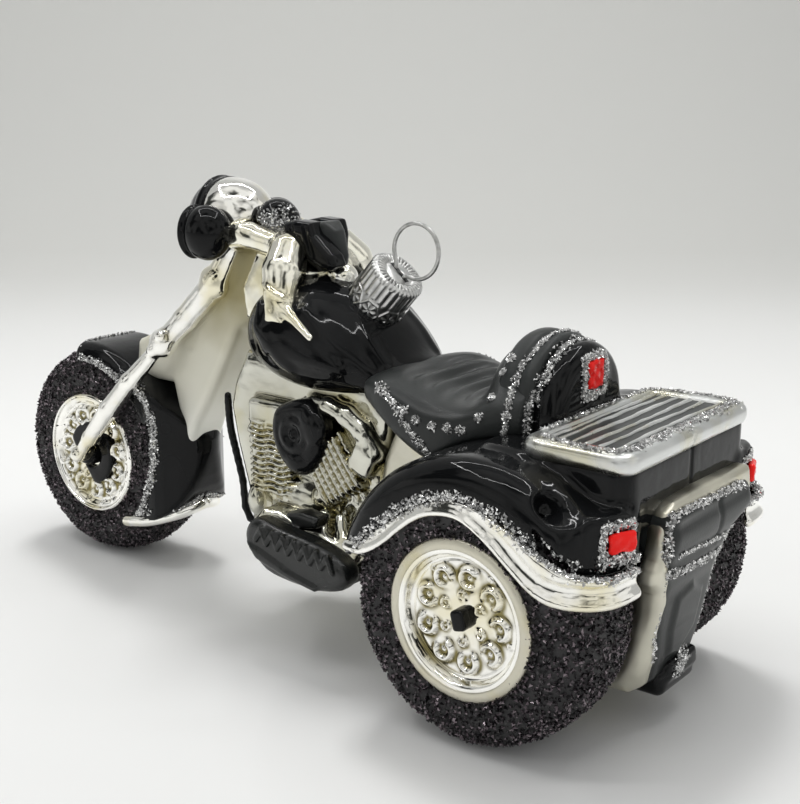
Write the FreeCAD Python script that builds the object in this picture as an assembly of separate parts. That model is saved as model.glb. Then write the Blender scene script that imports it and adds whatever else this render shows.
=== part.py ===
"""Hanging ornament in the shape of a motorized trike, in millimetres, +X forward, +Y left, +Z up."""
import math
import os

import FreeCAD, Part
from FreeCAD import Vector

# Driving dimensions, all in millimetres or degrees.
WHEELBASE = 100.0
WIDTH = 53.0
SEAT_H = 45.0
REAR_TYRE_R = 19.25
REAR_TYRE_W = 16.6
FRONT_TYRE_R = 20.1
FRONT_TYRE_W = 14.5
RIM_R = 10.8
DISH_R = 9.0
DISH_DEPTH = 1.4
HUB_R = 1.8
FENDER_GAP = 0.15
FENDER_WALL = 3.0
LIP_WALL = 1.0
ROD_R = 1.5
FORK_R = 2.7
FIN_PITCH = 1.7
FIN_T = 0.8
CAP_R = 5.0
CAP_H = 8.6
CAP_WALL = 0.35
CAP_TILT = 42.6
CAP_SLOT_W = 1.0
CAP_SLOT_L = 4.6
CAP_FLUTES = 16
NECK_WALL = 1.0
NECK_PLAY = 0.35
WIRE_R = 0.34
RING_R = 4.3
LID_RIBS = 6

# The outlines are drawn on a millimetre grid of the nominal sizes, with its zero on the ground under the rear axle.
# One step is U along X between the axles, V upward and H along Y. Behind the rear axle, and on the rear mudguards,
# it is R, which follows the rear tyre. On the front mudguard it is F, which follows the front tyre.
U = WHEELBASE / 100.0
V = SEAT_H / 45.0
H = WIDTH / 53.0
R = REAR_TYRE_R / 19.25
F = FRONT_TYRE_R / 20.1

# Places that several pieces share.
REAR_OUT_Y = WIDTH / 2.0
REAR_IN_Y = REAR_OUT_Y - REAR_TYRE_W
REAR_MID_Y = REAR_OUT_Y - REAR_TYRE_W / 2.0
REAR_AXLE = Vector(0, 0, REAR_TYRE_R)
FRONT_AXLE = Vector(WHEELBASE, 0, FRONT_TYRE_R)
REAR_END = -23.0 * R
ROW_SHIFT = -(WHEELBASE + FRONT_TYRE_R + REAR_END) / 2.0
CAP_AXIS = Vector(-math.sin(math.radians(CAP_TILT)), 0, math.cos(math.radians(CAP_TILT)))
CAP_SIDE = Vector(math.cos(math.radians(CAP_TILT)), 0, math.sin(math.radians(CAP_TILT)))
CAP_BASE = Vector(36.6 * U, 0, 54.0 * V)
CAP_TOP = CAP_BASE + CAP_AXIS * CAP_H
NECK_R = CAP_R - 0.3 - CAP_WALL - NECK_PLAY
NECK_BORE_R = NECK_R - NECK_WALL
RING_CENTRE = CAP_TOP + CAP_AXIS * (RING_R + 0.55)

os.makedirs("parts", exist_ok=True)
DONE = {}


def flat_face(points):
    """Plane face inside a closed ring of points."""
    return Part.Face(Part.makePolygon(list(points) + [points[0]]))


def along(x):
    """Place along X of a grid value: the rear overhang follows the rear tyre, the rest the wheelbase."""
    return x * U if x > 0 else x * R


def about_axle(points, axle, step):
    """Grid points (x, z) for side_plate that keep their place about an axle, whatever the wheelbase and height."""
    nominal = axle.x / U
    out = []
    for x, z in points:
        place = axle.x + (x - nominal) * step
        out.append((place / U if place > 0 else place / R, z * step / V))
    return out


def side_plate(points, y_low, y_high):
    """Side outline of grid points (x, z), as thick as the two Y values say."""
    ring = [Vector(along(x), y_low, z * V) for x, z in points]
    return flat_face(ring).extrude(Vector(0, y_high - y_low, 0))


def smooth_plate(points, y_low, y_high):
    """Like side_plate, with one smooth closed curve through the points."""
    curve = Part.BSplineCurve()
    curve.interpolate([Vector(along(x), y_low, z * V) for x, z in points], PeriodicFlag=True)
    face = Part.Face(Part.Wire(curve.toShape()))
    return face.extrude(Vector(0, y_high - y_low, 0))


def rounded(shape, radius, test):
    """Fillet the edges whose middle point passes the test, or leave the shape as it is."""
    edges = []
    for edge in shape.Edges:
        if test(edge.CenterOfMass):
            edges.append(edge)
    try:
        soft = shape.makeFillet(radius, edges)
    except Exception:
        return shape
    return soft if soft.isValid() and soft.Volume > 0 else shape


def block(x0, x1, y0, y1, z0, z1, soft):
    """Box with grid X and Z, millimetre Y, all edges rounded by the radius soft."""
    box = Part.makeBox(along(x1) - along(x0), y1 - y0, (z1 - z0) * V, Vector(along(x0), y0, z0 * V))
    return rounded(box, soft, lambda c: True)


def rod(start, end, r_start, r_end):
    """Straight round bar between two points."""
    run = end - start
    if abs(r_start - r_end) < 1e-6:
        return Part.makeCylinder(r_start, run.Length, start, run)
    return Part.makeCone(r_start, r_end, run.Length, start, run)


def bar(points, radii, swell=0.0):
    """Round bar through several points, with a ball at each joint, bigger than the bar there by swell."""
    solid = Part.makeSphere(radii[0] + swell, points[0])
    for i in range(len(points) - 1):
        solid = solid.fuse(rod(points[i], points[i + 1], radii[i], radii[i + 1]))
        solid = solid.fuse(Part.makeSphere(radii[i + 1] + swell, points[i + 1]))
    return solid.removeSplitter()


def turned(profile, centre):
    """Solid turned about the Y line through centre; profile is a ring of (radius, y) points."""
    ring = [Vector(r, y, 0) for r, y in profile]
    solid = flat_face(ring).revolve(Vector(0, 0, 0), Vector(0, 1, 0), 360)
    solid.translate(Vector(centre.x, 0, centre.z))
    return solid


def arc_turned(profile, centre, start_deg, end_deg):
    """Part of a turned solid between two angles, counted from +X towards +Z."""
    ring = [Vector(r, y, 0) for r, y in profile]
    face = flat_face(ring)
    face.rotate(Vector(0, 0, 0), Vector(0, 1, 0), -start_deg)
    solid = face.revolve(Vector(0, 0, 0), Vector(0, 1, 0), -(end_deg - start_deg))
    solid.translate(Vector(centre.x, 0, centre.z))
    return solid


def mirrored(shape):
    """The same shape on the other side of the middle plane."""
    return shape.mirror(Vector(0, 0, 0), Vector(0, 1, 0))


def main_solid(shape):
    """Largest solid of a shape, for when a cut leaves crumbs."""
    solids = sorted(shape.Solids, key=lambda s: s.Volume)
    return solids[-1]


def add(name, shape, clear_of=()):
    """Cut the shape clear of earlier pieces, keep it, and write its file."""
    tools = [DONE[key] for key in clear_of if DONE[key].BoundBox.intersect(shape.BoundBox)]
    for tool in tools:
        shape = shape.cut(tool)
    solid = main_solid(shape)
    DONE[name] = solid
    out = solid.copy()
    out.translate(Vector(ROW_SHIFT, 0, 0))
    out.exportStep("parts/" + name + ".step")
    crumbs = [round(s.Volume, 2) for s in shape.Solids if not s.isSame(solid)]
    print(name, "valid", solid.isValid(), "volume", round(solid.Volume, 1), "left out", crumbs)
    return solid


def tyre(radius, width, inner, soft, centre):
    """Nearly square tyre with rounded shoulders and a slight crown, about the plane y = 0."""
    half = width / 2.0
    crown = 0.05 * radius
    ring = [(inner, -half)]
    for i in range(5):
        angle = math.radians(90.0 * i / 4)
        ring.append((radius - crown - soft + soft * math.sin(angle), -half + soft - soft * math.cos(angle)))
    ring.append((radius, -0.2 * half))
    ring.append((radius, 0.2 * half))
    for i in range(5):
        angle = math.radians(90.0 * (4 - i) / 4)
        ring.append((radius - crown - soft + soft * math.sin(angle), half - soft + soft * math.cos(angle)))
    ring.append((inner, half))
    return turned(ring, centre)


def dished_wheel(width, centre, both_sides):
    """Cast wheel face with a raised lip, a shallow dish and a ring of raised ovals."""
    half = width / 2.0
    floor = half - DISH_DEPTH
    outer = [(0, floor), (DISH_R - 0.9, floor), (DISH_R, half - 0.3), (DISH_R + 0.4, half + 0.15)]
    outer += [(RIM_R - 0.5, half + 0.1), (RIM_R, half - 0.4)]
    inner = [(RIM_R, -half), (0, -half)]
    if both_sides:
        inner = [(r, -y) for r, y in reversed(outer)]
    solid = turned(outer + inner, centre)
    sides = (1, -1) if both_sides else (1,)
    for side in sides:
        for i in range(8):
            angle = 2 * math.pi * i / 8
            for ring_r, oval_r in ((DISH_R * 0.66, 1.25), (DISH_R * 0.40, 0.75)):
                shift = angle + (math.pi / 8 if ring_r < DISH_R * 0.5 else 0)
                foot = Vector(ring_r * math.cos(shift), side * (floor - 0.3), ring_r * math.sin(shift))
                foot = foot + Vector(centre.x, 0, centre.z)
                button = Part.makeCone(oval_r, oval_r * 0.7, 0.9, foot, Vector(0, side, 0))
                solid = solid.fuse(button)
    return solid.removeSplitter()


def build_rear_wheels():
    """Tyre, wheel and hub cap on each side of the rear axle."""
    rubber = tyre(REAR_TYRE_R, REAR_TYRE_W, RIM_R, 2.6, REAR_AXLE)
    wheel = dished_wheel(REAR_TYRE_W, REAR_AXLE, False)
    floor = REAR_TYRE_W / 2.0 - DISH_DEPTH
    hub = block(-HUB_R / R, HUB_R / U, floor, floor + 1.6, 0, 2 * HUB_R / V, 0.5)
    hub.translate(Vector(0, 0, REAR_TYRE_R - HUB_R))
    for piece in (rubber, wheel, hub):
        piece.translate(Vector(0, REAR_MID_Y, 0))
    for side, flip in (("left", False), ("right", True)):
        pieces = [mirrored(p) if flip else p for p in (rubber, wheel, hub)]
        add("rear_tyre_" + side, pieces[0])
        add("rear_wheel_" + side, pieces[1], ["rear_tyre_" + side])
        add("rear_hub_" + side, pieces[2], ["rear_wheel_" + side])


def build_front_wheel():
    """Tyre, wheel, brake discs and hub caps on the front axle."""
    add("front_tyre", tyre(FRONT_TYRE_R, FRONT_TYRE_W, RIM_R, 3.6, FRONT_AXLE))
    half = FRONT_TYRE_W / 2.0
    floor = half - DISH_DEPTH
    ring = [(2.0, floor - 0.5), (6.0, floor - 0.5), (6.0, half - 0.2), (5.6, half + 0.1), (2.0, half + 0.1)]
    disc = turned(ring, FRONT_AXLE)
    hub = Part.makeCone(3.0, 2.2, 2.1, Vector(FRONT_AXLE.x, floor - 0.5, FRONT_AXLE.z), Vector(0, 1, 0))
    disc = disc.fuse(hub).removeSplitter()
    add("brake_disc_left", disc)
    add("brake_disc_right", mirrored(disc))
    wheel = dished_wheel(FRONT_TYRE_W, FRONT_AXLE, True)
    add("front_wheel", wheel, ["front_tyre", "brake_disc_left", "brake_disc_right"])


def build_front_fender():
    """Mudguard close round the top of the front tyre, with a skirt behind it that tapers to the rear."""
    crown = FRONT_TYRE_R + FENDER_WALL * 0.45
    edge = FRONT_TYRE_R - 4.0
    side = FRONT_TYRE_W / 2.0 + 1.1
    half = [(edge, side - 0.9), (edge, side), (edge + 2.2, side - 0.3), (crown - 1.2, side - 2.4)]
    half += [(crown - 0.1, side - 5.0)]
    ring = half + [(r, -y) for r, y in reversed(half)]
    arch = arc_turned(ring, FRONT_AXLE, 70.0, 150.0)
    back = [(89.8, 36.5), (86.0, 36.0), (80.0, 33.0), (76.0, 27.8), (73.8, 23.8), (74.2, 18.0), (76.3, 12.2)]
    back += [(83.0, 9.2), (90.2, 8.1), (85.3, 10.3), (82.8, 17.6), (82.3, 25.3), (83.2, 32.7)]
    skirt = side_plate(about_axle(back, FRONT_AXLE, F), -side - 1, side + 1)
    taper = [(92, side), (83, side), (80.5, side - 2.05), (77.8, side - 4.15), (75.2, side - 5.95), (73.7, 0.9)]
    taper = [(FRONT_AXLE.x + (x - 100) * F, y) for x, y in taper]
    ring = [Vector(x, y, 0) for x, y in taper]
    ring += [Vector(x, -y, 0) for x, y in reversed(taper)]
    skirt = skirt.common(flat_face(ring).extrude(Vector(0, 0, 60 * V)))
    room = tyre(FRONT_TYRE_R + FENDER_GAP, FRONT_TYRE_W + 2 * FENDER_GAP, RIM_R - 2, 3.6, FRONT_AXLE)
    add("front_fender", arch.fuse(skirt).cut(room).removeSplitter(), ["front_tyre"])


def build_fork():
    """Two fork legs, and the frosted web between them up to the steering head."""
    top = Vector(63.8 * U, 3.6 * H, 61.6 * V)
    clamp = Vector(67.4 * U, 4.4 * H, 55.4 * V)
    knuckle = Vector(77.7 * U, 7.5 * H, 44.4 * V)
    side_y = FRONT_TYRE_W / 2.0 + 1.4 + ROD_R
    foot = Vector(WHEELBASE - 0.6, side_y, FRONT_TYRE_R + 0.6)
    upper = bar([top, clamp, knuckle], [FORK_R - 0.5, FORK_R - 0.1, FORK_R - 0.3], 0.2)
    middle = Vector(WHEELBASE - 14.8 * F, side_y + 0.25, 36.2 * F)
    lower = bar([knuckle, middle, foot], [ROD_R + 0.3, ROD_R + 0.2, ROD_R], 0.12)
    axle = rod(Vector(foot.x, FRONT_TYRE_W / 2.0 + 0.65, foot.z), Vector(foot.x, side_y, foot.z), 1.9, 1.9)
    leg = upper.fuse(lower).fuse(axle).removeSplitter()
    clear = ["front_tyre", "front_fender", "brake_disc_left", "brake_disc_right"]
    clear += ["front_wheel"]
    add("fork_left", leg, clear)
    add("fork_right", mirrored(leg), clear)
    web = [(54.8, 62.4), (60.0, 63.4), (66.0, 61.5), (74.0, 53.0), (82.0, 46.0), (89, 43), (90, 36), (78, 36)]
    web += [(76.6, 22.5), (73.8, 29.1), (70.5, 34.1), (66.2, 41.6), (61.8, 50.0)]
    plate = side_plate(web, -4.2 * H, 4.2 * H)
    start = Vector(WHEELBASE, -WIDTH / 2.0, FRONT_TYRE_R)
    tyre_room = Part.makeCylinder(FRONT_TYRE_R + FENDER_GAP, WIDTH, start, Vector(0, 1, 0))
    plate = rounded(plate.cut(tyre_room), 1.6, lambda c: abs(abs(c.y) - 4.2 * H) < 0.1 and c.x < 84 * U)
    add("fork_web", plate, ["front_fender", "fork_left", "fork_right", "front_tyre"])


def along_x(profile, y, z):
    """Solid turned about a line along X at the given y and z; profile is a ring of (x, radius) points."""
    ring = [Vector(x * U, y, z + r * V) for x, r in profile]
    return flat_face(ring).revolve(Vector(0, y, z), Vector(1, 0, 0), 360)


def build_front_top():
    """Headlight shell, round lamps, instrument pod, handlebar, grips and the cowl between them."""
    axis_z = 67.2 * V
    forks = ["fork_left", "fork_right", "fork_web"]
    shell = [(59.4, 0.0), (59.6, 2.2), (60.6, 4.2), (62.8, 5.6), (66.0, 6.3), (69.6, 6.2), (69.6, 0.0)]
    add("headlight_shell", along_x(shell, 0, axis_z), forks)
    band = [(69.6, 0.0), (69.6, 6.3), (71.4, 5.8), (73.0, 4.8), (73.7, 4.0), (73.3, 3.6), (73.3, 0.0)]
    add("headlight_bezel", along_x(band, 0, axis_z), forks)
    lens = [(73.3, 0.0), (73.3, 3.5), (74.3, 2.8), (74.9, 1.6), (75.1, 0.0)]
    add("headlight_lens", along_x(lens, 0, axis_z), ["headlight_bezel"])
    bowl = [(60.2, 0.0), (60.4, 1.4), (61.2, 3.0), (62.6, 4.0), (64.6, 4.4), (67.2, 4.3), (67.9, 3.8), (67.5, 3.4)]
    bowl += [(67.5, 0.0)]
    lamp = along_x(bowl, 8.6 * H, 64.8 * V)
    add("lamp_left", lamp, ["headlight_shell", "headlight_bezel"] + forks)
    add("lamp_right", mirrored(lamp), ["headlight_shell", "headlight_bezel"] + forks)
    pod = Part.makeSphere(3.7 * V, Vector(56.2 * U, 0, 66.5 * V))
    add("instrument_pod", pod, ["headlight_shell"] + forks)
    ends = [Vector(54.4, 2.2, 63.6), Vector(50.0, 5.2, 62.6), Vector(48.2, 7.9, 59.2), Vector(47.0, 9.8, 55.8)]
    ends.append(Vector(40.2, 12.0, 50.0))
    arm = bar([Vector(p.x * U, p.y * H, p.z * V) for p in ends], [2.5, 2.6, 2.6, 2.3, 1.4])
    bracket = bar([Vector(52.5 * U, 4.8 * H, 63.4 * V), Vector(62.6 * U, 5.9 * H, 64.0 * V)], [2.0, 1.9])
    head = [(44.6, 60.0), (50.0, 63.8), (55.4, 63.6), (61.0, 53.0), (59.0, 49.0), (52.0, 49.0), (46.0, 55.0)]
    stem = rounded(side_plate(head, -5.6 * H, 5.6 * H), 1.6, lambda c: True)
    for piece in (arm, bracket):
        stem = stem.fuse(piece).fuse(mirrored(piece))
    clear = ["headlight_shell", "lamp_left", "lamp_right", "instrument_pod"] + forks
    add("handlebar", stem.removeSplitter(), clear)
    cowl = Part.makeSphere(3.3 * V, Vector(46.8 * U, 0, 62.9 * V))
    add("dash_cowl", cowl, ["handlebar"])
    grip = bar([Vector(48.8 * U, 2.7 * H, 64.8 * V), Vector(43.4 * U, 2.4 * H, 61.3 * V)], [2.2, 1.4])
    clear = ["handlebar", "dash_cowl", "instrument_pod"]
    add("grip_left", grip, clear)
    add("grip_right", mirrored(grip), clear)


def loft_body(stations):
    """Closed smooth body through oval stations (x, half width, z bottom, z top, squareness)."""
    wires = []
    for x, half, z_low, z_high, square in stations:
        points = []
        for i in range(16):
            angle = 2 * math.pi * i / 16
            c = math.cos(angle)
            s = math.sin(angle)
            y = half * math.copysign(abs(c) ** square, c)
            z = (z_low + z_high) / 2.0 + (z_high - z_low) / 2.0 * math.copysign(abs(s) ** square, s)
            points.append(Vector(x * U, y * H, z * V))
        curve = Part.BSplineCurve()
        curve.interpolate(points, PeriodicFlag=True)
        wires.append(Part.Wire(curve.toShape()))
    return Part.makeLoft(wires, True, False)


def build_tank():
    """Fuel tank, the filler cap on it and the open glass neck under the ornament cap."""
    stations = [(57.0, 5.0, 47.0, 52.0, 1.0), (55.4, 8.5, 44.0, 55.0, 0.9), (51.0, 11.6, 41.8, 58.4, 0.85)]
    stations += [(45.0, 13.2, 40.6, 59.0, 0.85), (38.0, 12.4, 40.2, 57.0, 0.85), (32.0, 10.4, 40.4, 52.4, 0.9)]
    stations += [(28.0, 8.0, 40.8, 48.2, 0.95), (26.0, 5.0, 42.0, 46.6, 1.0)]
    body = loft_body(stations)
    sunk = CAP_BASE - CAP_AXIS * 5.0
    socket = Part.makeCylinder(NECK_R, 30, sunk, CAP_AXIS)
    body = body.cut(socket)
    over = Part.makeCylinder(CAP_R + 0.3, 30, CAP_BASE - CAP_AXIS * 0.3, CAP_AXIS)
    body = body.cut(over)
    add("fuel_tank", body, ["handlebar", "dash_cowl", "grip_left", "grip_right", "fork_web"])
    length = 5.0 + CAP_H - CAP_WALL - NECK_PLAY
    tube = Part.makeCylinder(NECK_R, length, sunk, CAP_AXIS)
    bore = Part.makeCylinder(NECK_BORE_R, length, sunk + CAP_AXIS * 1.2, CAP_AXIS)
    add("neck", tube.cut(bore), [])
    filler = Part.makeSphere(2.4 * V, Vector(42.4 * U, 0, 58.7 * V))
    room = Part.makeCylinder(CAP_R + 0.3, 30, CAP_BASE - CAP_AXIS * 0.3, CAP_AXIS)
    clear = ["fuel_tank", "dash_cowl", "handlebar", "neck", "grip_left", "grip_right"]
    add("filler_cap", filler.cut(room), clear)


def finned_cylinder(foot, lean, length, half_x, half_y):
    """Engine cylinder along the lean direction: an oval barrel with a stack of wider, square-edged fins."""
    core = [(half_x - 1.0, half_y - 1.0, 0.0, length)]
    count = int(length / FIN_PITCH)
    for i in range(count):
        core.append((half_x, half_y, i * FIN_PITCH + 0.5, FIN_T))
    solid = None
    for rx, ry, z, height in core:
        slab = Part.makeBox(2 * rx, 2 * ry, height, Vector(-rx, -ry, z))
        slab = rounded(slab, min(2.6, rx * 0.6), lambda c: abs(c.x) > rx - 0.01 and abs(c.y) > ry - 0.01)
        solid = slab if solid is None else solid.fuse(slab)
    solid = solid.removeSplitter()
    solid.rotate(Vector(0, 0, 0), Vector(0, 1, 0), lean)
    solid.translate(foot)
    return solid


def build_engine():
    """Crankcase, finned cylinders, the oval cover on each side, frame tubes and floorboards."""
    front = finned_cylinder(Vector(50.2 * U, 0, 22.0 * V), 14, 16.0 * V, 4.6 * U, 11.0 * H)
    rear = finned_cylinder(Vector(41.5 * U, 0, 21.5 * V), -38, 14.5 * V, 4.6 * U, 11.0 * H)
    add("cylinder_front", front, [])
    add("cylinder_rear", rear, ["cylinder_front"])
    barrels = ["cylinder_front", "cylinder_rear"]
    oval = smooth_plate([(46.8, 34.0), (45.6, 38.6), (42.6, 40.2), (39.4, 38.4), (38.6, 34.0), (39.6, 29.8),
                         (42.6, 28.0), (45.6, 29.6)], 0, 4.4 * H)
    oval = rounded(oval, 1.1, lambda c: c.y > 4.0 * H)
    pit = Part.makeTorus(2.2 * U, 0.5, Vector(42.6 * U, 4.5 * H, 34.2 * V), Vector(0, 1, 0))
    oval = oval.cut(pit)
    oval.translate(Vector(0, 8.5 * H, 0))
    add("horn_cover", oval, barrels)
    add("air_cleaner", mirrored(oval), barrels)
    barrels += ["horn_cover", "air_cleaner"]
    case = [(31, 18.2), (29.5, 12.4), (50, 12.6), (60.8, 14.8), (62.5, 20), (65.4, 34.0), (64.5, 41.5), (57, 46)]
    case += [(30, 44), (26, 40), (27.5, 30), (29, 22)]
    body = rounded(side_plate(case, -8.6 * H, 8.6 * H), 2.2, lambda c: True)
    add("engine_case", body, barrels + ["fuel_tank", "fork_web", "neck", "handlebar"])
    path = [(66.2, 44.0), (65.9, 35.1), (63.9, 24.6), (60.9, 15.6), (50.0, 11.8)]
    tube = bar([Vector(x * U, 4.6 * H, z * V) for x, z in path], [1.25, 1.4, 1.5, 1.4, 1.25])
    clear = ["engine_case", "fork_web", "fuel_tank", "handlebar"]
    add("frame_tube_left", tube, clear)
    add("frame_tube_right", mirrored(tube), clear)
    outline = [(49.5, 20.6), (46.6, 22.2), (31.0, 18.8), (27.0, 15.6), (27.6, 13.0), (33, 11.8), (47, 15.6)]
    board = rounded(side_plate(outline, 8.4 * H, 20.4 * H), 1.5, lambda c: True)
    for i in range(7):
        x = (30.6 + 2.3 * i) * U
        z = (15.4 + 0.52 * i) * V
        groove = Part.makeCylinder(0.42, 4.4 * V, Vector(x, 20.5 * H, z), Vector(0.2, 0, 1))
        board = board.cut(groove)
    add("floorboard_left", board, ["engine_case"] + barrels)
    add("floorboard_right", mirrored(board), ["engine_case"] + barrels)


def build_seat():
    """Saddle, padded backrest, its hard shell and its lamp."""
    stations = [(26.6, 6.0, 43.0, 47.4, 0.9), (23.5, 11.6, 38.0, 47.6, 0.75), (18.0, 14.2, 35.0, 45.2, 0.65)]
    stations += [(12.0, 14.4, 36.0, 45.0, 0.62), (6.0, 13.6, 37.6, 47.0, 0.62), (1.6, 11.4, 39.0, 49.0, 0.7)]
    saddle = loft_body(stations)
    add("seat", saddle, ["fuel_tank", "engine_case", "neck"])
    arch = [(11.4, 39.2), (11.2, 46.0), (9.6, 50.6), (6.4, 53.8), (2.4, 55.3)]
    outline = arch + [(-y, z) for y, z in reversed(arch)]
    curve = Part.BSplineCurve()
    curve.interpolate([Vector(0, y * H, z * V) for y, z in outline])
    foot = Part.LineSegment(Vector(0, -11.4 * H, 39.2 * V), Vector(0, 11.4 * H, 39.2 * V))
    face = Part.Face(Part.Wire([curve.toShape(), foot.toShape()]))
    pad = face.extrude(Vector(4.0 * U + 1.2 * R, 0, 0))
    pad.translate(Vector(-1.2 * R, 0, 0))
    pad = rounded(pad, 1.5, lambda c: c.z > 40 * V)
    add("backrest", pad, ["seat"])
    shell = face.copy()
    shell = shell.extrude(Vector(-5.4 * R, 0, 0))
    shell.scale(0.9, Vector(-1.2 * R, 0, 39.2 * V))
    shell.translate(Vector(-1.2 * R, 0, 0))
    shell = rounded(shell, 2.2, lambda c: c.x < -5 * R and c.z > 40 * V)
    add("backrest_shell", shell, ["backrest", "seat"])
    lens = block(-6.6, -5.2, -2.9 * H, 2.9 * H, 47.2, 51.2, 0.6)
    add("backrest_lamp", lens, ["backrest_shell"])


def build_rear_fenders():
    """Mudguards over the rear tyres, with a bright lip along each outer edge."""
    low = REAR_TYRE_R + FENDER_GAP
    high = low + FENDER_WALL
    skirt = REAR_TYRE_R - 1.9
    out = REAR_OUT_Y + LIP_WALL
    inner = REAR_OUT_Y + FENDER_GAP
    ring = [(low, REAR_IN_Y + 0.2), (high, REAR_IN_Y + 0.2), (high, out - 5.4), (high - 0.7, out - 2.6)]
    ring += [(high - 2.2, out - 0.6), (high - 3.8, out), (skirt, out), (skirt, inner), (low, inner)]
    arch = arc_turned(ring, REAR_AXLE, 20.0, 158.0)
    band = [(16.7, 25.4), (12.4, 27.9), (7.5, 32.1), (2.1, 34.0), (-2.1, 33.6), (-5.6, 31.7), (-9.0, 29.0)]
    band += [(-12.4, 26.6), (-15.6, 25.4), (-20.2, 25.2), (-20.2, 28.6), (-17.4, 29.9), (-12.9, 31.5)]
    band += [(-8.4, 34.2), (-3.7, 36.1), (1.1, 36.6), (6.1, 35.2), (11.2, 32.0), (15.9, 28.2), (18.6, 24.6)]
    strip = side_plate(about_axle(band, REAR_AXLE, R), inner, out + 0.25)
    strip = strip.common(Part.makeBox(40 * R, 60, 60 * R, Vector(-13.0 * R, 0, 0)))
    far = REAR_OUT_Y + LIP_WALL + 0.25
    bend = [(-13.0, far), (-15.6, far - 0.8), (-18.4, far - 2.6), (-20.2, far - 5.0), (-21.2, far - 8.2)]
    bend += [(-21.4, 13.8 * H), (-20.5, 13.8 * H), (-20.3, far - 8.4), (-19.4, far - 5.6), (-17.7, far - 3.5)]
    bend += [(-15.2, far - 1.8), (-13.0, inner)]
    wrap = flat_face([Vector(x * R, y, 25.2 * R) for x, y in bend]).extrude(Vector(0, 0, 3.3 * R))
    strip = strip.fuse(wrap).removeSplitter()
    for side, flip in (("left", False), ("right", True)):
        lip = mirrored(strip) if flip else strip
        hood = mirrored(arch) if flip else arch
        add("fender_lip_" + side, lip, ["rear_tyre_" + side, "rear_wheel_" + side])
        clear = ["rear_tyre_" + side, "rear_wheel_" + side, "fender_lip_" + side, "seat", "engine_case"]
        clear += ["backrest", "backrest_shell"]
        add("rear_fender_" + side, hood, clear)


def build_trunk():
    """Trunk with its ribbed lid, tail lamps, rear panel, tow foot and the body between the tyres."""
    fenders = ["rear_fender_left", "rear_fender_right", "rear_tyre_left", "rear_tyre_right"]
    fenders += ["fender_lip_left", "fender_lip_right"]
    lid = [(-20.5, 41.2), (-3.6, 41.2), (-3.6, 43.9), (-20.5, 43.9)]
    plate = rounded(side_plate(lid, -18.6 * H, 18.6 * H), 1.2, lambda c: True)
    pitch = 11.6 / LID_RIBS
    for i in range(LID_RIBS):
        x = -18.0 + pitch * i
        gap = Part.makeBox(pitch * 0.55 * R, 29.6 * H, 3, Vector(x * R, -14.8 * H, 43.3 * V))
        plate = plate.cut(gap)
    add("trunk_lid", plate, ["backrest", "backrest_shell"])
    lens = block(-21.0, -19.8, 16.6 * H, 21.6 * H, 31.8, 34.8, 0.5)
    add("tail_lamp_left", lens)
    add("tail_lamp_right", mirrored(lens))
    lamps = ["tail_lamp_left", "tail_lamp_right"]
    box = block(-20.2, 3.0, -18.2 * H, 18.2 * H, 33.0, 41.2, 1.4)
    house = block(-20.3, -8.0, 12.0 * H, 26.2 * H, 28.7, 37.0, 1.6)
    plan = [(-20.4, 0), (-20.4, 18.6 * H), (-19.2, 21.8 * H), (-17.4, 24.2 * H), (-14.8, 25.8 * H)]
    plan += [(-8.0, 26.3 * H), (-8.0, 0)]
    ring = [Vector(along(x), y, 20 * V) for x, y in plan]
    house = house.common(flat_face(ring).extrude(Vector(0, 0, 30 * V)))
    box = box.fuse(house).fuse(mirrored(house))
    add("trunk", box, fenders + lamps + ["trunk_lid", "backrest", "backrest_shell", "seat"])
    body = [(-19.4, 34.0), (-19.0, 12.0), (-15.5, 6.2), (-10, 6.0), (-2, 10.0), (14, 11.5), (28.6, 13.2)]
    body += [(28.4, 22), (26.6, 32), (25.4, 40), (6.0, 40.0), (3.0, 34.0)]
    core = side_plate(body, -(REAR_IN_Y - 0.1), REAR_IN_Y - 0.1)
    clear = fenders + lamps + ["trunk", "seat", "engine_case", "floorboard_left", "floorboard_right"]
    clear += ["backrest", "backrest_shell", "fuel_tank", "cylinder_rear"]
    outline = [(-19.4, 36.0), (-22.8, 35.4), (-23.0, 34.2), (-22.0, 29.6), (-20.9, 27.6), (-20.4, 24.0)]
    outline += [(-19.6, 18.0), (-18.6, 11.0), (-17.4, 8.2), (-16.0, 8.2), (-18.8, 14.0), (-19.4, 22.0)]
    width = [(10.4, 36.4), (9.6, 30.0), (8.4, 26.0), (7.2, 17.0), (5.8, 8.0)]
    ring = [Vector(-26 * R, y * H, z * V) for y, z in width]
    ring += [Vector(-26 * R, -y * H, z * V) for y, z in reversed(width)]
    trim = flat_face(ring).extrude(Vector(12 * R, 0, 0))
    panel = side_plate(outline, -11 * H, 11 * H).common(trim)
    panel = rounded(panel, 0.5, lambda c: c.x < -20.0 * R)
    add("rear_panel", panel, ["trunk"])
    foot = block(-18.8, -13.4, -4.4 * H, 4.4 * H, 5.2, 9.4, 1.2)
    add("rear_foot", foot, ["rear_panel", "rear_tyre_left", "rear_tyre_right"])
    wide = [(13.6, 35.6), (13.2, 29.0), (11.0, 18.0), (9.8, 12.0)]
    ring = [Vector(-20.6 * R, y * H, z * V) for y, z in wide]
    ring += [Vector(-20.6 * R, -y * H, z * V) for y, z in reversed(wide)]
    frame = flat_face(ring).extrude(Vector(1.4 * R, 0, 0)).cut(trim)
    add("rear_body", core.fuse(frame), clear + ["rear_panel", "rear_foot"])


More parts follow.
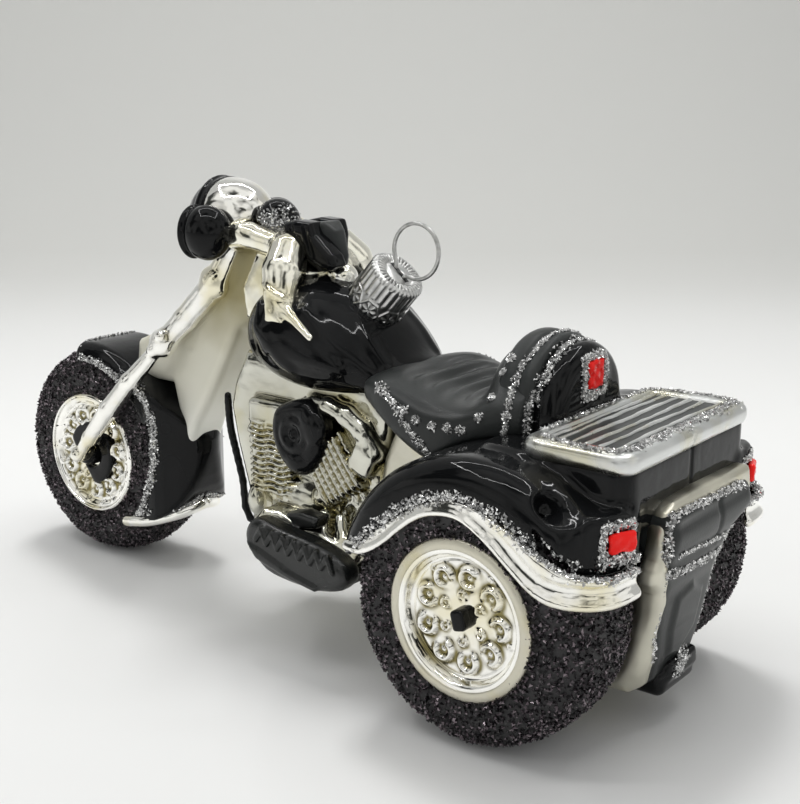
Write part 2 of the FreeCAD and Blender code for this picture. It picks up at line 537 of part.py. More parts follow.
def build_cap():
    """Stamped cap that sits over the neck, and the sprung wire ring that hangs it."""
    ring = [(CAP_R - 0.05, 0.0), (CAP_R, 0.5), (CAP_R - 0.3, 1.0), (CAP_R - 0.3, CAP_H - 0.8)]
    ring += [(CAP_R - 0.7, CAP_H - 0.1), (CAP_R - 1.3, CAP_H), (CAP_R - 1.9, CAP_H - 0.25)]
    ring += [(CAP_R - 2.6, CAP_H), (0, CAP_H)]
    ring += [(0, CAP_H - CAP_WALL), (CAP_R - 0.3 - CAP_WALL, CAP_H - CAP_WALL)]
    ring += [(CAP_R - 0.3 - CAP_WALL, 0.0)]
    face = flat_face([Vector(r, 0, z) for r, z in ring])
    crown = face.revolve(Vector(0, 0, 0), Vector(0, 0, 1), 360)
    slot = Part.makeBox(CAP_SLOT_L, CAP_SLOT_W, 4, Vector(-CAP_SLOT_L / 2.0, -CAP_SLOT_W / 2.0, CAP_H - 2))
    crown = crown.cut(slot)
    for i in range(CAP_FLUTES):
        angle = 360.0 * i / CAP_FLUTES
        flute = Part.makeCylinder(0.55, CAP_H - 4.6, Vector(CAP_R + 0.12, 0, 3.4))
        flute.rotate(Vector(0, 0, 0), Vector(0, 0, 1), angle)
        crown = crown.cut(flute)
    crown.rotate(Vector(0, 0, 0), Vector(0, 1, 0), -CAP_TILT)
    crown.translate(CAP_BASE)
    add("cap", crown, [])
    leg_low = CAP_H - 9.4
    spread = NECK_BORE_R - WIRE_R - 0.5
    centre_h = CAP_H + RING_R + 0.55
    gap_deg = 24.0
    path = [Vector(-spread, 0, leg_low), Vector(-1.1, 0, CAP_H - 1.4), Vector(-1.1, 0, CAP_H + 0.35)]
    steps = 28
    for i in range(steps + 1):
        angle = math.radians(-90.0 - gap_deg - (360.0 - 2 * gap_deg) * i / steps)
        path.append(Vector(RING_R * math.cos(angle), 0, centre_h + RING_R * math.sin(angle)))
    path += [Vector(1.1, 0, CAP_H + 0.35), Vector(1.1, 0, CAP_H - 1.4), Vector(spread, 0, leg_low)]
    wire = bar(path, [WIRE_R] * len(path))
    wire.rotate(Vector(0, 0, 0), Vector(0, 1, 0), -CAP_TILT)
    wire.translate(CAP_BASE)
    add("hanger", wire, [])


build_rear_wheels()
build_front_wheel()
build_front_fender()
build_fork()
build_front_top()
build_tank()
build_engine()
build_seat()
build_rear_fenders()
build_trunk()
build_cap()
whole = Part.makeCompound([shape for shape in DONE.values()])
box = whole.BoundBox
print("pieces", len(DONE))
print("size", round(box.XLength, 2), round(box.YLength, 2), round(box.ZLength, 2))
print("row shift", round(ROW_SHIFT, 3), "x from", round(box.XMin + ROW_SHIFT, 2), "to", round(box.XMax + ROW_SHIFT, 2))
print("y from", round(box.YMin, 2), "to", round(box.YMax, 2), "z from", round(box.ZMin, 3), "to", round(box.ZMax, 2))
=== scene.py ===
import math

import bmesh
import bpy
import numpy as np
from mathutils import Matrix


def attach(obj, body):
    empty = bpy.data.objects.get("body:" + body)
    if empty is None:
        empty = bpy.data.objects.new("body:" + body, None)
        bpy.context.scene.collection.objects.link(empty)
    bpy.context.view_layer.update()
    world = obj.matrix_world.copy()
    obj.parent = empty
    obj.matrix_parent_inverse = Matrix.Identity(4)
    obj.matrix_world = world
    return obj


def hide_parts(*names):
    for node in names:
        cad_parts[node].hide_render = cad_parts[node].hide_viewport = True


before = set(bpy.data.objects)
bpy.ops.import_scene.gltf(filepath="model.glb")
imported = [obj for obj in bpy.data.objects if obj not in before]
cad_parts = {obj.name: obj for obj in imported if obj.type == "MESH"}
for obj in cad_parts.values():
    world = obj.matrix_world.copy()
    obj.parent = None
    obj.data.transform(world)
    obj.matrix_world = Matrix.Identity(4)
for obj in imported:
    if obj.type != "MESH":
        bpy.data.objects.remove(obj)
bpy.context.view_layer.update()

import openvdb
from mathutils import Vector
from mathutils.bvhtree import BVHTree

MM = 0.001
# The shapes are written in millimetres: x runs forward from the rear axle, y to the left and z up.
REAR_X = -48.55
REAR_R, REAR_IN, REAR_OUT = 19.25, 9.9, 26.5
TYRE_MID, TYRE_SIDE = 18.2, 8.35
TAIL_LAMP, TAIL_YAW, BACK_LAMP = (-20.5, 19.6, 33.2), -22.0, (-4.7, 0.4, 49.3)
FRONT_X, FRONT_R, FRONT_HALF = 100.0, 20.1, 7.25
RIM_R = 10.8
REAR_AXLE, FRONT_AXLE = (0.0, REAR_R), (FRONT_X, FRONT_R)
# Share of a piece's triangles that is kept, and how wide and how deep a valley is that gets the painted shade.
KEPT_SHARE = 0.48
SHADE_REACH, SHADE_DEPTH = 0.5, 0.10


# Distance fields.
class Field:
    """A block of sample points, in millimetres, and the distance field d of the form that is built up in it.
    With both=True only y >= 0 is sampled and the result is mirrored."""

    def __init__(self, x0, x1, y0, y1, z0, z1, step, both=False):
        self.step, self.both, self.d = step, both, None
        self.low = (x0, 0.0 if both else y0, z0)
        axes = [np.arange(low, high + step, step, dtype=np.float32)
                for low, high in ((x0, x1), (self.low[1], y1), (z0, z1))]
        self.x, self.y, self.z = axes[0][:, None, None], axes[1][None, :, None], axes[2][None, None, :]
        self.shape = tuple(len(a) for a in axes)

    def add(self, shape, soft=0.0):
        self.d = shape if self.d is None else blend(self.d, shape, soft)

    def cut(self, shape, soft=0.0):
        self.d = carve(self.d, shape, soft)

    def keep(self, shape, soft=0.0):
        self.d = both(self.d, shape, soft)

    def turn(self, c, lean=0.0, yaw=0.0, roll=0.0):
        """Coordinates about a centre: yaw about z, roll about x, lean tips the x axis down at the front."""
        x, y, z = self.x - c[0], self.y - c[1], self.z - c[2]
        if yaw:
            x, y = spun(x, y, yaw)
        if roll:
            y, z = spun(y, z, roll)
        if lean:
            x, z = spun(x, z, -lean)
        return x, y, z

    def egg(self, c, r, **turns):
        x, y, z = self.turn(c, **turns)
        near = np.sqrt((x / r[0]) ** 2 + (y / r[1]) ** 2 + (z / r[2]) ** 2)
        steep = np.sqrt((x / r[0] ** 2) ** 2 + (y / r[1] ** 2) ** 2 + (z / r[2] ** 2) ** 2)
        return near * (near - 1.0) / np.maximum(steep, 1e-6)

    def rod(self, p, q, r, r2=None):
        """Rod from p to q, with radius r at p and r2 at q."""
        r2 = r if r2 is None else r2
        d = [b - a for a, b in zip(p, q)]
        x, y, z = self.x - p[0], self.y - p[1], self.z - p[2]
        t = np.clip((x * d[0] + y * d[1] + z * d[2]) / sum(v * v for v in d), 0, 1)
        away = (x - t * d[0]) ** 2 + (y - t * d[1]) ** 2 + (z - t * d[2]) ** 2
        return np.sqrt(away) - (r + (r2 - r) * t)

    def chain(self, points, radii, soft=0.0):
        """Rods through the points, with one radius for all or one for each point."""
        if not isinstance(radii, (list, tuple)):
            radii = [radii] * len(points)
        out = None
        for ends in zip(points, points[1:], radii, radii[1:]):
            d = self.rod(*ends)
            out = d if out is None else (blend(out, d, soft) if soft else np.minimum(out, d))
        return out

    def box(self, c, half, r, **turns):
        qx, qy, qz = [np.abs(v) - h + r for v, h in zip(self.turn(c, **turns), half)]
        out = np.sqrt(np.maximum(qx, 0) ** 2 + np.maximum(qy, 0) ** 2 + np.maximum(qz, 0) ** 2)
        return out + np.minimum(np.maximum(np.maximum(qx, qy), qz), 0) - r

    def slab(self, c, half, corner, r):
        """Flat box whose upright corners are rounded by corner, and its top and bottom edges by r."""
        flat = edge_round(np.abs(self.x - c[0]) - half[0], np.abs(self.y - c[1]) - half[1], corner)
        return edge_round(flat, np.abs(self.z - c[2]) - half[2], r)

    def plate(self, points, middle, half, r, plane="xz", smooth=0):
        """A flat outline given in one plane, thick along the third axis, with rounded edges."""
        ring = spread(points, smooth) if smooth else points
        a, b, c = {"xz": (self.x, self.z, self.y), "yz": (self.y, self.z, self.x)}[plane]
        return edge_round(outline(ring, a, b), np.abs(c - middle) - half, r)

    def wheel(self, x, z):
        """Distance from a wheel's axle line."""
        return np.sqrt((self.x - x) ** 2 + (self.z - z) ** 2)

    def loft(self, stations, soft=1.0):
        """Body through oval stations (x, half width, z low, z high, squareness), rounded at its ends."""
        table = np.array(sorted(stations), float)
        w, low, high, square = [glide(table[:, 0], table[:, k], self.x) for k in (1, 2, 3, 4)]
        power = 2.0 / square
        z = self.z - (low + high) / 2
        q = (np.abs(self.y / w) ** power + np.abs(2 * z / (high - low)) ** power) ** (1 / power)
        p = np.sqrt(self.y ** 2 + z ** 2)
        d = both(p - p / np.maximum(q, 1e-3), table[0, 0] - self.x, soft)
        return both(d, self.x - table[-1, 0], soft)

    def mesh(self, name, d=None):
        """Mesh of the zero surface. Its point attribute holds painted shade: 0 on plain and ridged places and 1 in
        valleys.
        """
        d = np.broadcast_to(self.d if d is None else d, self.shape).astype(np.float32)
        origin = list(self.low)
        if self.both:
            d = np.concatenate([d[:, :0:-1, :], d], axis=1)
            origin[1] = -self.step * (self.shape[1] - 1)
        d = np.ascontiguousarray(d)
        for side in (0, -1):
            for wall in (d[side, :, :], d[:, side, :], d[:, :, side]):
                np.maximum(wall, self.step, out=wall)
        d = np.clip(d, -4 * self.step, 4 * self.step)
        grid = openvdb.FloatGrid(4.0 * self.step)
        grid.copyFromArray(d)
        points, _, quads = grid.convertToPolygons(isovalue=0.0, adaptivity=0.0)
        points = np.asarray(points, np.float64)
        # Painted shade: how far the form dips below its smoothed self, full at the set depth.
        bend = d - softened(d, max(1, int(round(SHADE_REACH / self.step))), range(3))
        cell = np.clip(np.rint(points).astype(int), 0, np.array(d.shape) - 1)
        valley_shade = np.clip(bend[cell[:, 0], cell[:, 1], cell[:, 2]] / SHADE_DEPTH, 0, 1)
        obj = solid(name, points * self.step + np.array(origin), np.asarray(quads))
        return thinned(mark(obj, valley_shade), KEPT_SHARE)

    def show(self, name, look, *nodes):
        dress(self.mesh(name), look, *nodes)

    def show_pair(self, name, look, *nodes, **more):
        pair(self.mesh(name), look, *nodes, **more)


def spun(a, b, degrees):
    """Two coordinates turned by an angle."""
    s, k = math.sin(math.radians(degrees)), math.cos(math.radians(degrees))
    return k * a + s * b, k * b - s * a


def softened(d, passes, axes):
    """Values averaged with their neighbours along the axes, several times over."""
    for _ in range(passes):
        for axis in axes:
            d = 0.5 * d + 0.25 * (np.roll(d, 1, axis) + np.roll(d, -1, axis))
    return d


def edge_round(d, t, r):
    """Overlap of two distances at right angles to each other, with a round edge."""
    d, t = d + r, t + r
    return np.sqrt(np.maximum(d, 0) ** 2 + np.maximum(t, 0) ** 2) + np.minimum(np.maximum(d, t), 0) - r


def glide(xs, ys, x):
    """Smooth curve through the points, flat beyond them."""
    slope = np.gradient(ys, xs)
    i = np.clip(np.searchsorted(xs, x) - 1, 0, len(xs) - 2)
    h = xs[i + 1] - xs[i]
    t = np.clip((x - xs[i]) / h, 0, 1)
    a, b = ys[i], ys[i + 1]
    return (a * (2 * t ** 3 - 3 * t ** 2 + 1) + b * (3 * t ** 2 - 2 * t ** 3)
            + h * (slope[i] * (t ** 3 - 2 * t ** 2 + t) + slope[i + 1] * (t ** 3 - t ** 2))).astype(np.float32)


def between(p, t):
    """Point at the share t from p[1] to p[2], on the smooth curve through four points."""
    return tuple(0.5 * (2 * p[1] + (p[2] - p[0]) * t + (2 * p[0] - 5 * p[1] + 4 * p[2] - p[3]) * t * t
                        + (3 * p[1] - p[0] - 3 * p[2] + p[3]) * t ** 3))


def rounded_path(points, steps):
    """Open smooth curve through the points, as a list."""
    pts = [np.array(p, float) for p in points]
    pts = [2 * pts[0] - pts[1]] + pts + [2 * pts[-1] - pts[-2]]
    out = [between(pts[i - 1:i + 3], s / steps) for i in range(1, len(pts) - 2) for s in range(steps)]
    return out + [tuple(pts[-2])]


def spread(points, steps):
    """Closed smooth curve through the points, as a list."""
    pts, n = [np.array(p, float) for p in points], len(points)
    return [between([pts[(i + k) % n] for k in (-1, 0, 1, 2)], s / steps) for i in range(n) for s in range(steps)]


def near_line(points, a, b):
    """Distance to an open line in the plane of the coordinates a and b."""
    a, b = np.broadcast_arrays(a, b)
    best = np.full(a.shape, 1e9, np.float32)
    for p, q in zip(points[:-1], points[1:]):
        ex, ey = q[0] - p[0], q[1] - p[1]
        wx, wy = a - p[0], b - p[1]
        t = np.clip((wx * ex + wy * ey) / max(ex * ex + ey * ey, 1e-12), 0, 1)
        best = np.minimum(best, (wx - ex * t) ** 2 + (wy - ey * t) ** 2)
    return np.sqrt(best)


def outline(ring, a, b):
    """Signed distance to a closed outline in the plane of the coordinates a and b."""
    a, b = np.broadcast_arrays(a, b)
    inside = np.ones(a.shape, np.float32)
    for i in range(len(ring)):
        p, q = ring[i], ring[i - 1]
        c1, c2 = b >= p[1], b < q[1]
        c3 = (q[0] - p[0]) * (b - p[1]) > (q[1] - p[1]) * (a - p[0])
        inside = np.where((c1 & c2 & c3) | (~c1 & ~c2 & ~c3), -inside, inside)
    return near_line(list(ring) + [ring[0]], a, b) * inside


def blend(a, b, k):
    """Smooth union over about k millimetres."""
    h = np.maximum(k - np.abs(a - b), 0) / k
    return np.minimum(a, b) - h * h * k * 0.25


def carve(a, b, k=0.0):
    """a without b, with a soft edge."""
    return -blend(-a, b, k) if k else np.maximum(a, -b)


def both(a, b, k=0.0):
    """Where a and b overlap, with a soft edge."""
    return -blend(-a, -b, k) if k else np.maximum(a, b)


def fade(v, low, high):
    """0 below low, 1 above high, smooth between."""
    t = np.clip((v - low) / (high - low), 0, 1)
    return t * t * (3 - 2 * t)


# Meshes.
def add_object(name, data):
    obj = bpy.data.objects.new(name, data)
    bpy.context.scene.collection.objects.link(obj)
    return obj


def solid(name, points, faces):
    """Mesh object from points in millimetres, with its normals facing out."""
    points = (np.asarray(points, float) + np.array([REAR_X, 0, 0])) * MM
    faces = np.asarray(faces)
    mesh = bpy.data.meshes.new(name)
    mesh.vertices.add(len(points))
    mesh.vertices.foreach_set("co", points.astype(np.float32).ravel())
    mesh.loops.add(faces.size)
    mesh.loops.foreach_set("vertex_index", faces.ravel().astype(np.int32))
    mesh.polygons.add(len(faces))
    mesh.polygons.foreach_set("loop_start", np.arange(0, faces.size, faces.shape[1], dtype=np.int32))
    mesh.polygons.foreach_set("use_smooth", np.ones(len(faces), bool))
    mesh.update(calc_edges=True)
    tri = points[faces[:, :3]]
    if np.einsum("ij,ij->i", tri[:, 0], np.cross(tri[:, 1], tri[:, 2])).sum() < 0:
        mesh.flip_normals()
    return add_object(name, mesh)


def mark(obj, values):
    """Store the painted valley shade as the point attribute that some materials read."""
    layer = obj.data.attributes.new("crease", "FLOAT", "POINT")
    layer.data.foreach_set("value", np.asarray(values, np.float32))
    return obj


def thinned(obj, share):
    """The same piece with only a share of its triangles, most of them where it curves."""
    obj.modifiers.new("fewer", "DECIMATE").ratio = share
    full = obj.data
    obj.data = bpy.data.meshes.new_from_object(obj.evaluated_get(bpy.context.evaluated_depsgraph_get()))
    obj.modifiers.clear()
    obj.data.name = full.name
    bpy.data.meshes.remove(full)
    return obj


def dress(obj, look, *nodes, body="glass"):
    """Give a piece its material and body, and hide the solids that it replaces."""
    material, slot = look
    obj.data.materials.clear()
    obj.data.materials.append(material)
    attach(obj, body)
    if nodes:
        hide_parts(*nodes)


def mirror_copy(obj, name):
    """The same piece on the other side of the middle plane."""
    mesh = obj.data.copy()
    co = np.zeros(len(mesh.vertices) * 3, np.float32)
    mesh.vertices.foreach_get("co", co)
    co[1::3] *= -1
    mesh.vertices.foreach_set("co", co)
    mesh.flip_normals()
    mesh.update()
    return add_object(name, mesh)


def pair(obj, look, *nodes, twin_nodes=None, twin_name=None):
    """Dress a left piece and make its mirrored twin, which replaces the right solids unless told otherwise."""
    twin = mirror_copy(obj, twin_name or obj.name.replace("left", "right"))
    if twin_nodes is None:
        twin_nodes = [node.replace("left", "right") for node in nodes]
    dress(obj, look, *nodes)
    dress(twin, look, *twin_nodes)


def clean(obj):
    """Weld doubled points and drop empty faces."""
    bm = bmesh.new()
    bm.from_mesh(obj.data)
    bmesh.ops.remove_doubles(bm, verts=bm.verts, dist=1e-6)
    bmesh.ops.dissolve_degenerate(bm, edges=bm.edges, dist=1e-7)
    bmesh.ops.recalc_face_normals(bm, faces=bm.faces)
    bm.to_mesh(obj.data)
    bm.free()
    for p in obj.data.polygons:
        p.use_smooth = True
    return obj


# Materials. Noise scales are in features a metre.
def start_material(name, colour, rough, metal=0.0, coat=0.0, coat_rough=0.03, spec=0.5):
    m = bpy.data.materials.new(name)
    m.use_nodes = True
    p = m.node_tree.nodes["Principled BSDF"]
    for key, value in (("Base Color", (*colour, 1)), ("Roughness", rough), ("Metallic", metal), ("Coat Weight", coat),
                       ("Coat Roughness", coat_rough), ("Specular IOR Level", spec)):
        p.inputs[key].default_value = value
    return m, m.node_tree, p


def add_node(tree, kind, **values):
    node = tree.nodes.new("ShaderNode" + kind)
    for key, value in values.items():
        if key in node.inputs:
            node.inputs[key].default_value = value
        else:
            setattr(node, key, value)
    return node


def noise(tree, scale, detail=2.0, rough=0.5, space="Object"):
    """Noise over the object's own coordinates."""
    n = add_node(tree, "TexNoise", Scale=scale, Detail=detail, Roughness=rough)
    tree.links.new(add_node(tree, "TexCoord").outputs[space], n.inputs["Vector"])
    return n.outputs["Fac"]


def ramp(tree, source, stops):
    r = add_node(tree, "ValToRGB")
    while len(r.color_ramp.elements) < len(stops):
        r.color_ramp.elements.new(0.5)
    for element, (place, colour) in zip(r.color_ramp.elements, stops):
        element.position = place
        element.color = (*colour, 1)
    tree.links.new(source, r.inputs["Fac"])
    return r.outputs["Color"]


def span(tree, source, low, high, out_low, out_high):
    m = add_node(tree, "MapRange")
    for key, value in (("From Min", low), ("From Max", high), ("To Min", out_low), ("To Max", out_high)):
        m.inputs[key].default_value = value
    tree.links.new(source, m.inputs["Value"])
    return m.outputs["Result"]


def mixed(tree, share, a, b):
    """Colour from a to b by a share. Each colour is a socket or a plain value."""
    mix = add_node(tree, "Mix", data_type="RGBA")
    tree.links.new(share, mix.inputs[0])
    for socket, colour in ((mix.inputs[6], a), (mix.inputs[7], b)):
        if isinstance(colour, tuple):
            socket.default_value = (*colour, 1)
        else:
            tree.links.new(colour, socket)
    return mix.outputs[2]


def bump(tree, p, scale, strength, distance):
    b = add_node(tree, "Bump", Strength=strength, Distance=distance)
    tree.links.new(noise(tree, scale), b.inputs["Height"])
    tree.links.new(b.outputs["Normal"], p.inputs["Normal"])


def patchy(tree, p, scale, detail, stops, rough=None, shade_tint=None):
    """Colour and roughness in clouds, and painted shade in the given colour where the point attribute marks a valley.
    """
    cloud = noise(tree, scale, detail)
    colour = ramp(tree, cloud, stops)
    if shade_tint:
        colour = mixed(tree, add_node(tree, "Attribute", attribute_name="crease").outputs["Fac"], colour, shade_tint)
    tree.links.new(colour, p.inputs["Base Color"])
    if rough:
        tree.links.new(span(tree, cloud, 0.3, 0.7, *rough), p.inputs["Roughness"])


def silvered(name, warm, rough=0.07, wave=0.35, shade_tint=(0.21, 0.18, 0.075)):
    """Glass silvered from inside: mirror with a slow wobble, yellower patches, and olive painted shade in its valleys.
    """
    m, tree, p = start_material(name, warm, rough, metal=1.0)
    pale = tuple(min(1.0, c * 1.10) for c in warm)
    worn = (warm[0] * 0.90, warm[1] * 0.86, warm[2] * 0.70)
    patchy(tree, p, 110.0, 3.0, [(0.34, worn), (0.5, warm), (0.66, pale)], (rough * 0.7, rough * 1.8), shade_tint)
    bump(tree, p, 240.0, wave, 0.0006)
    return m, "silvered_glass"


def lacquer(name, colour=(0.0035, 0.0037, 0.004), rough=0.045, spec=0.18):
    """Glossy paint with slight orange peel."""
    m, tree, p = start_material(name, colour, rough, spec=spec)
    bump(tree, p, 260.0, 0.16, 0.0005)
    stops = [(0.35, colour), (0.7, tuple(c * 1.8 for c in colour))]
    patchy(tree, p, 60.0, 2.0, stops, (rough * 0.7, rough * 1.6))
    return m, name


def satin(name, colour, rough, spec=0.5, slot="satin_black"):
    """Satin black paint, a little dusty, with fine grain."""
    m, tree, p = start_material(name, colour, rough, spec=spec)
    stops = [(0.3, tuple(c * 0.75 for c in colour)), (0.7, tuple(c * 1.35 for c in colour))]
    patchy(tree, p, 90.0, 3.0, stops, (rough - 0.06, rough + 0.08))
    bump(tree, p, 2600.0, 0.15, 0.00012)
    return m, slot


def frosted(name):
    """Pearly frosted web between the fork legs, greener and darker towards the steering head, which is painted shade of
    the recess under the neck.
    """
    m, tree, p = start_material(name, (0.62, 0.61, 0.54), 0.38, metal=0.25, coat=0.25, coat_rough=0.2)
    split = add_node(tree, "SeparateXYZ")
    tree.links.new(add_node(tree, "TexCoord").outputs["Object"], split.inputs["Vector"])
    mix = add_node(tree, "Math", operation="MULTIPLY_ADD")
    mix.inputs[1].default_value = 0.35
    tree.links.new(noise(tree, 70.0, 3.0), mix.inputs[0])
    tree.links.new(span(tree, split.outputs["Z"], 0.022, 0.060, 0.0, 1.0), mix.inputs[2])
    # Height and clouds set the colour: the dark olive near the top is painted shade of the recess under the neck.
    stops = [(0.15, (0.78, 0.78, 0.73)), (0.72, (0.66, 0.64, 0.53)), (1.0, (0.30, 0.26, 0.12))]
    tree.links.new(ramp(tree, mix.outputs["Value"], stops), p.inputs["Base Color"])
    bump(tree, p, 900.0, 0.1, 0.0002)
    return m, "frosted_glass"


def flakes(name, dark, mid, bright, metal, rough, slot):
    """Glitter: each crumb has its own shade and gloss."""
    m, tree, p = start_material(name, mid, rough, metal=metal)
    each = add_node(tree, "NewGeometry").outputs["Random Per Island"]
    tree.links.new(ramp(tree, each, [(0.0, dark), (0.55, mid), (0.93, bright)]), p.inputs["Base Color"])
    tree.links.new(span(tree, each, 0.0, 1.0, rough * 1.6, rough * 0.6), p.inputs["Roughness"])
    return m, slot


def clear(name):
    """Clear glass of the neck."""
    m, tree, p = start_material(name, (0.90, 0.93, 0.91), 0.05)
    p.inputs["Transmission Weight"].default_value = 1.0
    p.inputs["IOR"].default_value = 1.5
    tree.links.new(span(tree, noise(tree, 400.0), 0.3, 0.7, 0.03, 0.12), p.inputs["Roughness"])
    return m, name


def stamped(name, colour, rough, scale):
    """Thin bright sheet or wire with cloudy handling marks, and grey painted shade in the valleys that a piece marks.
    """
    m, tree, p = start_material(name, colour, rough, metal=1.0)
    stops = [(0.3, tuple(c * 0.72 for c in colour)), (0.7, tuple(min(1, c * 1.18) for c in colour))]
    patchy(tree, p, scale, 3.0, stops, shade_tint=(0.16, 0.16, 0.155))
    bump(tree, p, 3000.0, 0.12, 0.0001)
    return m, name


# Each look is a material and the name of a slot, which the script does not use.
SILVER = silvered("silver_mirror", (0.90, 0.89, 0.85))
SILVER_WARM = silvered("silver_warm", (0.86, 0.84, 0.74), 0.09, 0.5)
SILVER_SATIN = silvered("silver_satin", (0.70, 0.71, 0.70), 0.26, 0.2, (0.12, 0.12, 0.11))
CREAM = silvered("silver_cream", (0.62, 0.60, 0.51), 0.30, 0.2)
RIM = silvered("silver_rim", (0.60, 0.575, 0.48), 0.28, 0.2)
SILVER_GREY = silvered("silver_grey", (0.58, 0.575, 0.51), 0.10, 0.5)
WEB = frosted("frosted_web")
BLACK = lacquer("black_lacquer")
SATIN = satin("satin_black", (0.0165, 0.0185, 0.018), 0.36, 0.36)
SATIN_DEEP = satin("satin_deep", (0.008, 0.009, 0.0085), 0.26)
RED = lacquer("red_lacquer", (0.62, 0.010, 0.008), 0.15)
TYRE = satin("tyre_ground", (0.010, 0.009, 0.010), 0.55, slot="glitter_tyre")
BLACK_GLITTER = flakes("black_glitter", (0.004, 0.004, 0.005), (0.018, 0.014, 0.017), (0.22, 0.18, 0.20), 0.35, 0.24,
                       "glitter_tyre")
SILVER_GLITTER = flakes("silver_glitter", (0.20, 0.20, 0.20), (0.70, 0.70, 0.70), (0.98, 0.98, 0.97), 0.9, 0.22,
                        "silvered_glass")
CLEAR = clear("clear_glass")
CAP = stamped("stamped_cap", (0.66, 0.66, 0.65), 0.30, 500.0)
WIRE = stamped("spring_wire", (0.54, 0.54, 0.53), 0.32, 900.0)


# Rear half. Outlines are (x, y) in plan and (x, z) from the side.
REAR_PLAN = [(-22.5, 0), (-20.5, 0), (-20.5, 18.4), (-19.3, 21.9), (-17.4, 24.4), (-14.8, 26.2), (-11.0, 27.2),
             (-6.0, 27.6), (21, 27.6), (21, 0)]
LIP_LOW = [(16.7, 25.2), (14.8, 26.0), (12.4, 27.7), (10.0, 29.9), (7.5, 31.9), (5.0, 33.3), (2.1, 34.0), (-0.4, 34.0),
           (-2.6, 33.2), (-5.6, 31.4), (-9.0, 28.8), (-12.4, 26.5), (-15.6, 25.4), (-22.0, 25.2)]
LIP_HIGH = [(18.6, 24.8), (15.6, 27.8), (11.2, 31.4), (6.1, 34.7), (1.1, 36.2), (-3.7, 35.8), (-8.4, 34.0),
            (-12.9, 31.6), (-17.4, 29.7), (-22.0, 28.9)]
LIP_PLAN = [(19.0, 26.9), (15.5, 26.95), (12.0, 27.0), (8.0, 27.1), (4.0, 27.15), (0.0, 27.15), (-4.0, 27.15),
            (-8.0, 27.2), (-12.8, 27.3), (-16.1, 26.7), (-18.9, 25.1), (-20.7, 22.7), (-21.3, 19.8), (-21.4, 17.4)]
# The seam, the rear panel and its frame sit a little off the middle, as blown.
SEAM = 2.8
PANEL_FRONT = [(-9.6, 34.2), (0.0, 34.8), (12.0, 35.6), (13.9, 34.2), (14.4, 31.8), (14.6, 29.6), (14.1, 26.6),
               (13.0, 23.2), (12.4, 19.6), (11.9, 16.4), (11.2, 13.0), (10.4, 9.4), (8.6, 7.2), (-1.6, 6.8),
               (-2.8, 9.0), (-3.8, 13.0), (-4.2, 16.4), (-4.5, 20.4), (-4.2, 24.6), (-5.4, 27.2), (-8.4, 28.8),
               (-10.6, 30.0), (-11.0, 32.2)]
PANEL_SIDE = [(-18.6, 34.8), (-22.4, 35.1), (-23.6, 34.2), (-23.4, 32.9), (-23.8, 31.4), (-23.6, 29.4), (-22.9, 27.7),
              (-22.8, 26.4), (-22.2, 25.0), (-21.9, 23.4), (-21.2, 21.0), (-20.4, 16.0), (-19.6, 11.4), (-18.6, 7.4),
              (-17.0, 6.8), (-16.6, 14.0), (-17.4, 30.0)]


def side_height(points, x):
    """Height of a side line at x, from its (x, z) points."""
    table = np.array(sorted(points), float)
    return np.interp(x, table[:, 0], table[:, 1]).astype(np.float32)


def rear_shell():
    """Black lacquered mudguards, trunk and lamp housings, one flowing form with a seam behind."""
    f = Field(-22.5, 20.5, -28.6, 28.5, 23.5, 42.5, 0.36)
    seam = np.sqrt((f.x + 20.8) ** 2 + (f.y + SEAM) ** 2) - 0.45
    f.y = np.abs(f.y)
    r = f.wheel(*REAR_AXLE)
    f.add(edge_round(np.abs(f.y - 18.3) - 9.0, r - 22.3, 4.2))
    f.add(f.box((-3.0, 0, 36.0), (12.0, 12.0, 4.5), 3.0), 2.5)
    f.add(f.slab((-8.6, 0, 37.2), (11.6, 18.3, 4.5), 3.2, 0.9), 1.5)
    f.add(f.box((-16.6, 19.4, 32.7), (4.6, 5.6, 4.1), 2.2), 1.3)
    f.add(f.chain([(-4.5, 18.4, 38.6), (-10.0, 19.4, 37.4), (-14.6, 20.0, 34.8)], [1.3, 1.7, 1.6]), 2.2)
    f.cut(f.rod((-11.6, 23.6, 36.9), (-15.8, 24.8, 37.4), 1.6), 1.5)
    f.cut(seam, 0.4)
    f.keep(outline(REAR_PLAN, f.x, f.y), 1.0)
    f.cut(np.maximum(r - REAR_R - 0.15, np.abs(f.y - TYRE_MID) - (TYRE_SIDE + 0.1)))
    f.keep(np.where(f.y < 12.0, 27.0, side_height(LIP_HIGH, f.x) - 0.6) - f.z, 0.6)
    f.show("rear_shell", BLACK, "rear_fender_left", "rear_fender_right", "trunk")


